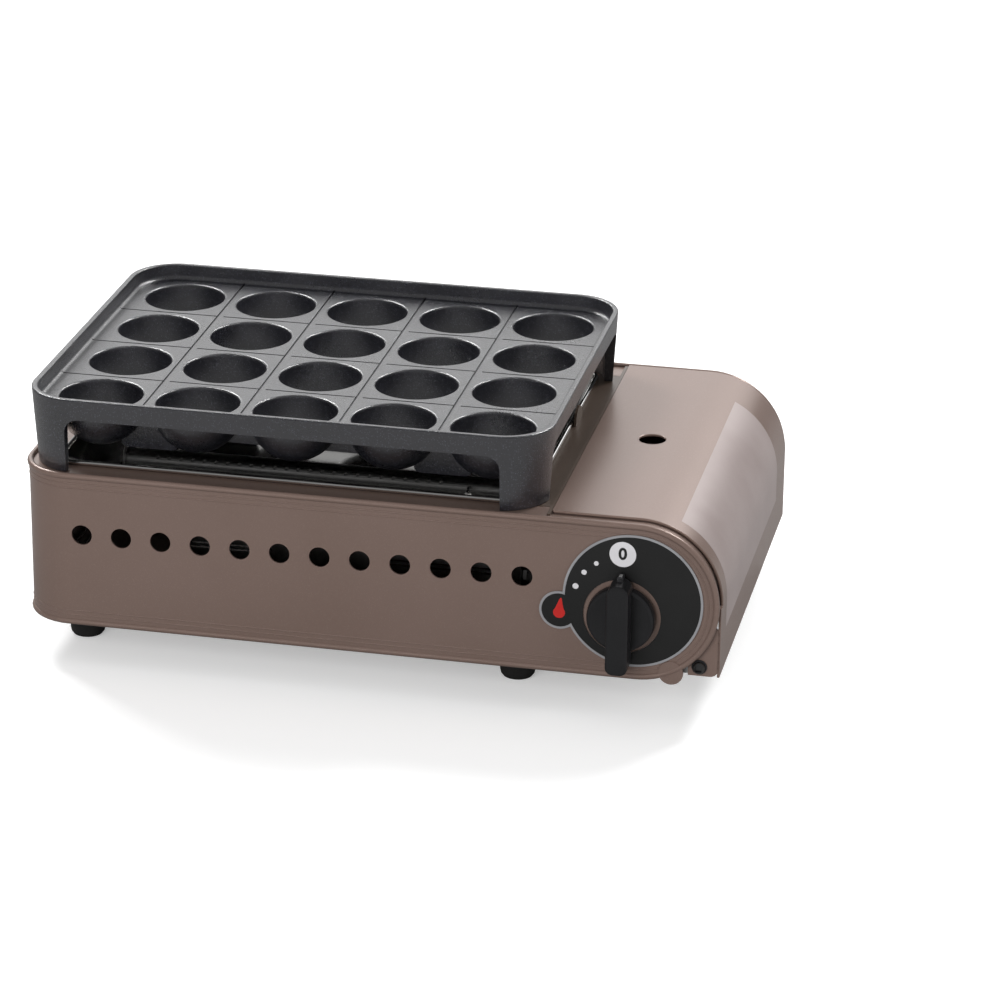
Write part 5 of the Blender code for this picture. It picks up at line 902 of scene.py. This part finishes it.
# Drip pan and burner
burner = {
    "radius": 6.5 * mm, "capRadius": 8.8 * mm, "cap": 1.5 * mm, "crossX": 63.4 * mm, "riserY": 30 * mm,
    "riserRadius": 7.5 * mm, "seam": 2.5 * mm, "seamThick": 1 * mm, "portPitch": 6 * mm,
    "portRadius": 1.0 * mm, "portTurn": 52, "crossThin": 0.3 * mm, "portDeep": 1.2 * mm,
    "portOver": 2 * mm,
}
pan = {
    "lip": 1.2 * mm, "corner": 12 * mm, "floorCorner": 26 * mm, "slope": 20 * mm, "endSlope": 3.5 * mm,
    "sheet": 0.8 * mm, "seat": 1.9 * mm, "foot": 6 * mm, "riserHole": 7.8 * mm, "sparkHole": 2.8 * mm,
}


def roundedSheet(low, high, z, radius, steps):
    form = bmesh.new()
    bmesh.ops.create_grid(form, x_segments=1, y_segments=1, size=0.5)
    bmesh.ops.scale(form, vec=(high[0] - low[0], high[1] - low[1], 1), verts=form.verts)
    bmesh.ops.translate(form, vec=((low[0] + high[0]) / 2, (low[1] + high[1]) / 2, z), verts=form.verts)
    bmesh.ops.bevel(form, geom=list(form.verts), offset=radius, offset_type="OFFSET", segments=steps,
                    profile=0.5, affect="VERTICES", material=-1, clamp_overlap=True)
    return form


def makePan():
    low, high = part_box("drip_pan")
    seat = pan["seat"]
    slope = pan["slope"]
    floorZ = low.z + pan["sheet"]
    rimZ = high.z - pan["lip"]
    lip = roundedSheet((low.x + seat, low.y + seat), (high.x - seat, high.y - seat), rimZ,
                       pan["corner"] - seat, 12)
    floor = roundedSheet((low.x + seat + slope, low.y + seat + slope),
                         (high.x - seat - pan["endSlope"], high.y - seat - slope), floorZ,
                         pan["floorCorner"], 12)
    form = merge([lip, floor])
    upper = [f for f in form.faces if f.calc_center_median().z > (floorZ + rimZ) / 2]
    bmesh.ops.delete(form, geom=upper, context="FACES_ONLY")
    bmesh.ops.bridge_loops(form, edges=[e for e in form.edges if not e.link_faces or e.is_boundary])
    bottom = max(form.faces, key=lambda f: f.calc_area())
    roundEdges(form, list(bottom.edges), pan["foot"], 6)
    bmesh.ops.recalc_face_normals(form, faces=form.faces)
    big = max(form.faces, key=lambda f: f.calc_area())
    if big.normal.z < 0:
        bmesh.ops.reverse_faces(form, faces=form.faces)
    item = objectFrom("pan", form)
    wall = item.modifiers.new("wall", "SOLIDIFY")
    wall.thickness = pan["sheet"]
    wall.offset = -1
    bpy.context.view_layer.update()
    bake(item)
    electrodeLow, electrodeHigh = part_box("electrode_insulator")
    spark = (electrodeLow + electrodeHigh) / 2
    over = band["over"]
    places = ((burner["crossX"], burner["riserY"], pan["riserHole"], 48),
              (spark.x, spark.y, pan["sparkHole"], 32))
    solve(item, [rod((x, y, low.z - over), (x, y, floorZ + over), radius, steps)
                 for x, y, radius, steps in places], "DIFFERENCE")
    r = pan["lip"]
    x0, x1, y0, y1 = low.x + r, high.x - r, low.y + r, high.y - r
    c = pan["corner"] - r
    corners = ((x1 - c, y1 - c), (x0 + c, y1 - c), (x0 + c, y0 + c), (x1 - c, y0 + c))
    line = [p for n, (x, y) in enumerate(corners) for p in quarter(x, y, c, 90 * n, 90 * n + 90, 10)]
    addForms(item, [wire("lip", [(x, y, rimZ) for x, y in line], r, True)])
    dress(item, "dripPan", finishes["bright_chrome"], "body", ["drip_pan"])


def makeBurner():
    low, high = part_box("burner")
    r = burner["radius"]
    z = high.z - burner["capRadius"]
    rows = (low.y + burner["capRadius"], high.y - burner["capRadius"])
    start, stop = low.x, high.x
    item = objectFrom("burner", rod((start, rows[0], z), (stop, rows[0], z), r, 40))
    solve(item, [rod((start, rows[1], z), (stop, rows[1], z), r, 40)], "UNION")
    x = burner["crossX"]
    solve(item, [rodBack(x, z, rows[0], rows[1], r - burner["crossThin"], 40)], "UNION")
    riser = rod((x, burner["riserY"], low.z), (x, burner["riserY"], z), burner["riserRadius"], 40)
    solve(item, [riser], "UNION")
    ports = []
    count = int((stop - start - 6 * burner["capRadius"]) / burner["portPitch"])
    for y in rows:
        for n in range(count):
            x = start + 2 * burner["capRadius"] + n * burner["portPitch"]
            for side in (-1, 1):
                turn = math.radians(burner["portTurn"]) * side
                way = Vector((0, math.sin(turn), math.cos(turn)))
                place = Vector((x, y, z))
                ports.append(rod(place + way * (r - burner["portDeep"]),
                                 place + way * (r + burner["portOver"]), burner["portRadius"], 12))
    solve(item, ports, "DIFFERENCE")
    extras = []
    for y in rows:
        for x, way in ((start, 1), (stop, -1)):
            line = [(0, 0), (burner["capRadius"] - 0.5 * mm, 0), (burner["capRadius"], 0.5 * mm),
                    (burner["capRadius"], burner["cap"]), (r, burner["cap"] + 0.4 * mm)]
            extras.append(spun(line, (x, y, z), (way, 0, 0), 48))
        seam = r + burner["seam"]
        half = burner["seamThick"] / 2
        strip = block((start + burner["cap"], y - seam, z - half),
                      (stop - burner["cap"], y + seam, z + half))
        roundEdges(strip, list(strip.edges), 0.25 * mm, 2)
        extras.append(strip)
    addForms(item, extras)
    dress(item, "burnerTubes", finishes["zinc_plate"], "body", ["burner"])


makePan()
makeBurner()
print("drip pan and burner made")

# Feet, screws and bushes
foot = {"edge": 1.2 * mm, "tall": 12 * mm, "stud": 2.8 * mm}


def makeFeet():
    for where in ("front_left", "front_right", "rear_left", "rear_right"):
        low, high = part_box(f"foot_{where}")
        centre = (low + high) / 2
        r = (high.x - low.x) / 2
        tall, stud = foot["tall"], foot["stud"]
        line = [(0, 0), (r * 0.55, 0), (r * 0.62, 0.35 * mm), (r * 0.84, 0.9 * mm), (r * 0.95, 2.2 * mm),
                (r, 4.2 * mm), (r, tall - foot["edge"])]
        line += quarter(r - foot["edge"], tall - foot["edge"], foot["edge"], 0, 90, 4)[1:]
        full = high.z - low.z
        line += [(stud, tall), (stud, full - 3 * mm), (4 * mm, full - 2.2 * mm),
                 (2 * mm, full), (0, full)]
        item = objectFrom("foot", spun(line, (centre.x, centre.y, low.z), (0, 0, 1), 56))
        title = "foot" + "".join(w.capitalize() for w in where.split("_"))
        dress(item, title, finishes["black_rubber"], "body", [f"foot_{where}"])


screw = {
    "shank": 1.5 * mm, "head": 3.0 * mm, "headTall": 1.8 * mm, "crossLong": 0.62, "crossDeep": 0.9 * mm,
    "crossHalf": 0.24 * mm,
}


# A cross-head screw whose head stands towards the axis; its shank fills the rest of the screw's box
def makeScrew(node, axis):
    low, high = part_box(node)
    centre = (low + high) / 2
    axis = Vector(axis)
    long = abs((high - low).dot(axis))
    tail = centre - axis * long / 2
    r, tall = screw["head"], screw["headTall"]
    line = [(0, 0), (screw["shank"] * 0.7, 0), (screw["shank"], 0.5 * mm), (screw["shank"], long - tall),
            (r, long - tall), (r, long - tall + 0.5 * mm)]
    line += [(r * 0.92, long - tall * 0.45), (r * 0.72, long - tall * 0.16), (r * 0.4, long), (0, long)]
    item = objectFrom("screw", spun(line, tail, axis, 40))
    side = axis.orthogonal().normalized()
    other = axis.cross(side)
    tip = centre + axis * long / 2
    for way in (side, other):
        reach = [abs(way[i]) * r * screw["crossLong"] + abs(axis[i]) * screw["crossDeep"]
                 + screw["crossHalf"] for i in range(3)]
        slotForm = block([tip[i] - reach[i] for i in range(3)], [tip[i] + reach[i] for i in range(3)])
        solve(item, [slotForm], "DIFFERENCE")
    words = node.split("_")
    title = words[0] + "".join(w.capitalize() for w in words[1:])
    finish = finishes["dark_screw" if node.startswith("hinge_screw") else "screw_steel"]
    dress(item, title, finish, "body", [node])


def screwAxis(node):
    if node.startswith("hinge_screw_"):
        return (0, -1, 0) if node.endswith("front") else (0, 1, 0)
    low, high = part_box(node)
    if high.y - low.y > high.z - low.z:
        return (0, -1, 0)
    return (0, 0, 1) if node == "electrode_screw" else (0, 0, -1)


def makeScrews():
    for node in sorted(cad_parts):
        if "screw" in node:
            makeScrew(node, screwAxis(node))


bush = {"bore": 1.9 * mm, "bevel": 0.35 * mm, "rim": 0.8 * mm}


def makeBushes():
    for where, way in (("front", -1), ("rear", 1)):
        low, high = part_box(f"hinge_bush_{where}")
        centre = (low + high) / 2
        r = (high.x - low.x) / 2
        deep = high.y - low.y
        face = low.y if way < 0 else high.y
        bore, bevel, rim = bush["bore"], bush["bevel"], bush["rim"]
        line = [(bore, 0), (r - bevel, 0), (r, bevel), (r, rim), (r - rim, rim), (r - rim, deep),
                (bore, deep), (bore, 0)]
        item = objectFrom("bush", spun(line, (centre.x, face, centre.z), (0, -way, 0), 48))
        dress(item, f"hingeBush{where.capitalize()}", finishes["black_plastic"], "body",
              [f"hinge_bush_{where}"])


makeFeet()
makeScrews()
makeBushes()
print("feet, screws and bushes made")

# Camera, lamps and floor
view = {
    "turn": 13.1748, "rise": 21.7441, "roll": 0.0899, "place": (0.422801, -1.80965, 0.8194),
    "lens": 143.5656, "shift": (0.09167, -0.02996),
}


def makeCamera():
    turn, rise, roll = (math.radians(view[k]) for k in ("turn", "rise", "roll"))
    back = Vector((math.sin(turn) * math.cos(rise), -math.cos(turn) * math.cos(rise), math.sin(rise)))
    right = Vector((math.cos(turn), math.sin(turn), 0))
    up = back.cross(right)
    across = right * math.cos(roll) + up * math.sin(roll)
    above = up * math.cos(roll) - right * math.sin(roll)
    lens = bpy.data.cameras.new("camera")
    lens.lens = view["lens"]
    lens.sensor_width = 36
    lens.shift_x, lens.shift_y = view["shift"]
    lens.clip_end = 50
    item = bpy.data.objects.new("camera", lens)
    scene.collection.objects.link(item)
    turned = Matrix((across, above, back)).transposed().to_4x4()
    item.matrix_world = Matrix.Translation(view["place"]) @ turned
    scene.camera = item


lamps = {
    "left": {"place": (-0.95, 0.75, 1.25), "size": (0.42, 0.42), "power": 17},
    "right": {"place": (0.75, 0.95, 1.3), "size": (0.42, 0.42), "power": 17},
    "back": {"place": (-0.3, 1.9, 1.0), "size": (2.6, 1.3), "power": 14},
    "top": {"place": (0.0, -0.1, 1.9), "size": (1.5, 1.5), "power": 4},
    "front": {"place": (-0.5, -1.9, 0.7), "size": (1.3, 1.3), "power": 31},
    "side": {"place": (1.7, -0.5, 0.6), "size": (1.0, 1.0), "power": 14},
}
fillLamps = ("front", "side", "top")    # without glare on the black faces
lampAim = Vector((0, 0, 0.07))


def makeLamps():
    for name, lamp in lamps.items():
        light = bpy.data.lights.new(name, "AREA")
        light.shape = "RECTANGLE"
        light.size, light.size_y = lamp["size"]
        light.energy = lamp["power"]
        item = bpy.data.objects.new(name, light)
        item.visible_glossy = name not in fillLamps
        scene.collection.objects.link(item)
        place = Vector(lamp["place"])
        item.location = place
        item.rotation_euler = (lampAim - place).to_track_quat("-Z", "Y").to_euler()


def makeStage():
    world = bpy.data.worlds.new("studio")
    scene.world = world
    world.use_nodes = True
    tree = world.node_tree
    light = tree.nodes["Background"]
    light.inputs["Color"].default_value = (1, 1, 1, 1)
    path = tree.nodes.new("ShaderNodeLightPath")
    seen = mathNode(tree, "MAXIMUM", path.outputs["Is Camera Ray"], path.outputs["Is Transmission Ray"])
    tree.links.new(rangeNode(tree, seen, 0, 1, 0.24, 1), light.inputs["Strength"])
    form = bmesh.new()
    bmesh.ops.create_circle(form, cap_ends=True, segments=96, radius=6)
    floor = objectFrom("floor", form)
    paint = bpy.data.materials.new("pale floor")
    paint.use_nodes = True
    tree = paint.node_tree
    shader = tree.nodes["Principled BSDF"]
    shader.inputs["Roughness"].default_value = 0.9
    glow = tree.nodes.new("ShaderNodeEmission")
    path = tree.nodes.new("ShaderNodeLightPath")
    seen = path.outputs["Is Camera Ray"]
    tone = mixColour(tree, seen, (0.25, 0.25, 0.25), (0.82, 0.82, 0.82))    # darker in reflections
    tree.links.new(tone, shader.inputs["Base Color"])
    tree.links.new(rangeNode(tree, seen, 0, 1, 0, 0.35), glow.inputs["Strength"])
    both = tree.nodes.new("ShaderNodeAddShader")
    tree.links.new(shader.outputs["BSDF"], both.inputs[0])
    tree.links.new(glow.outputs["Emission"], both.inputs[1])
    tree.links.new(both.outputs["Shader"], tree.nodes["Material Output"].inputs["Surface"])
    floor.data.materials.append(paint)


makeCamera()
makeLamps()
makeStage()
print("camera, lamps and floor set")
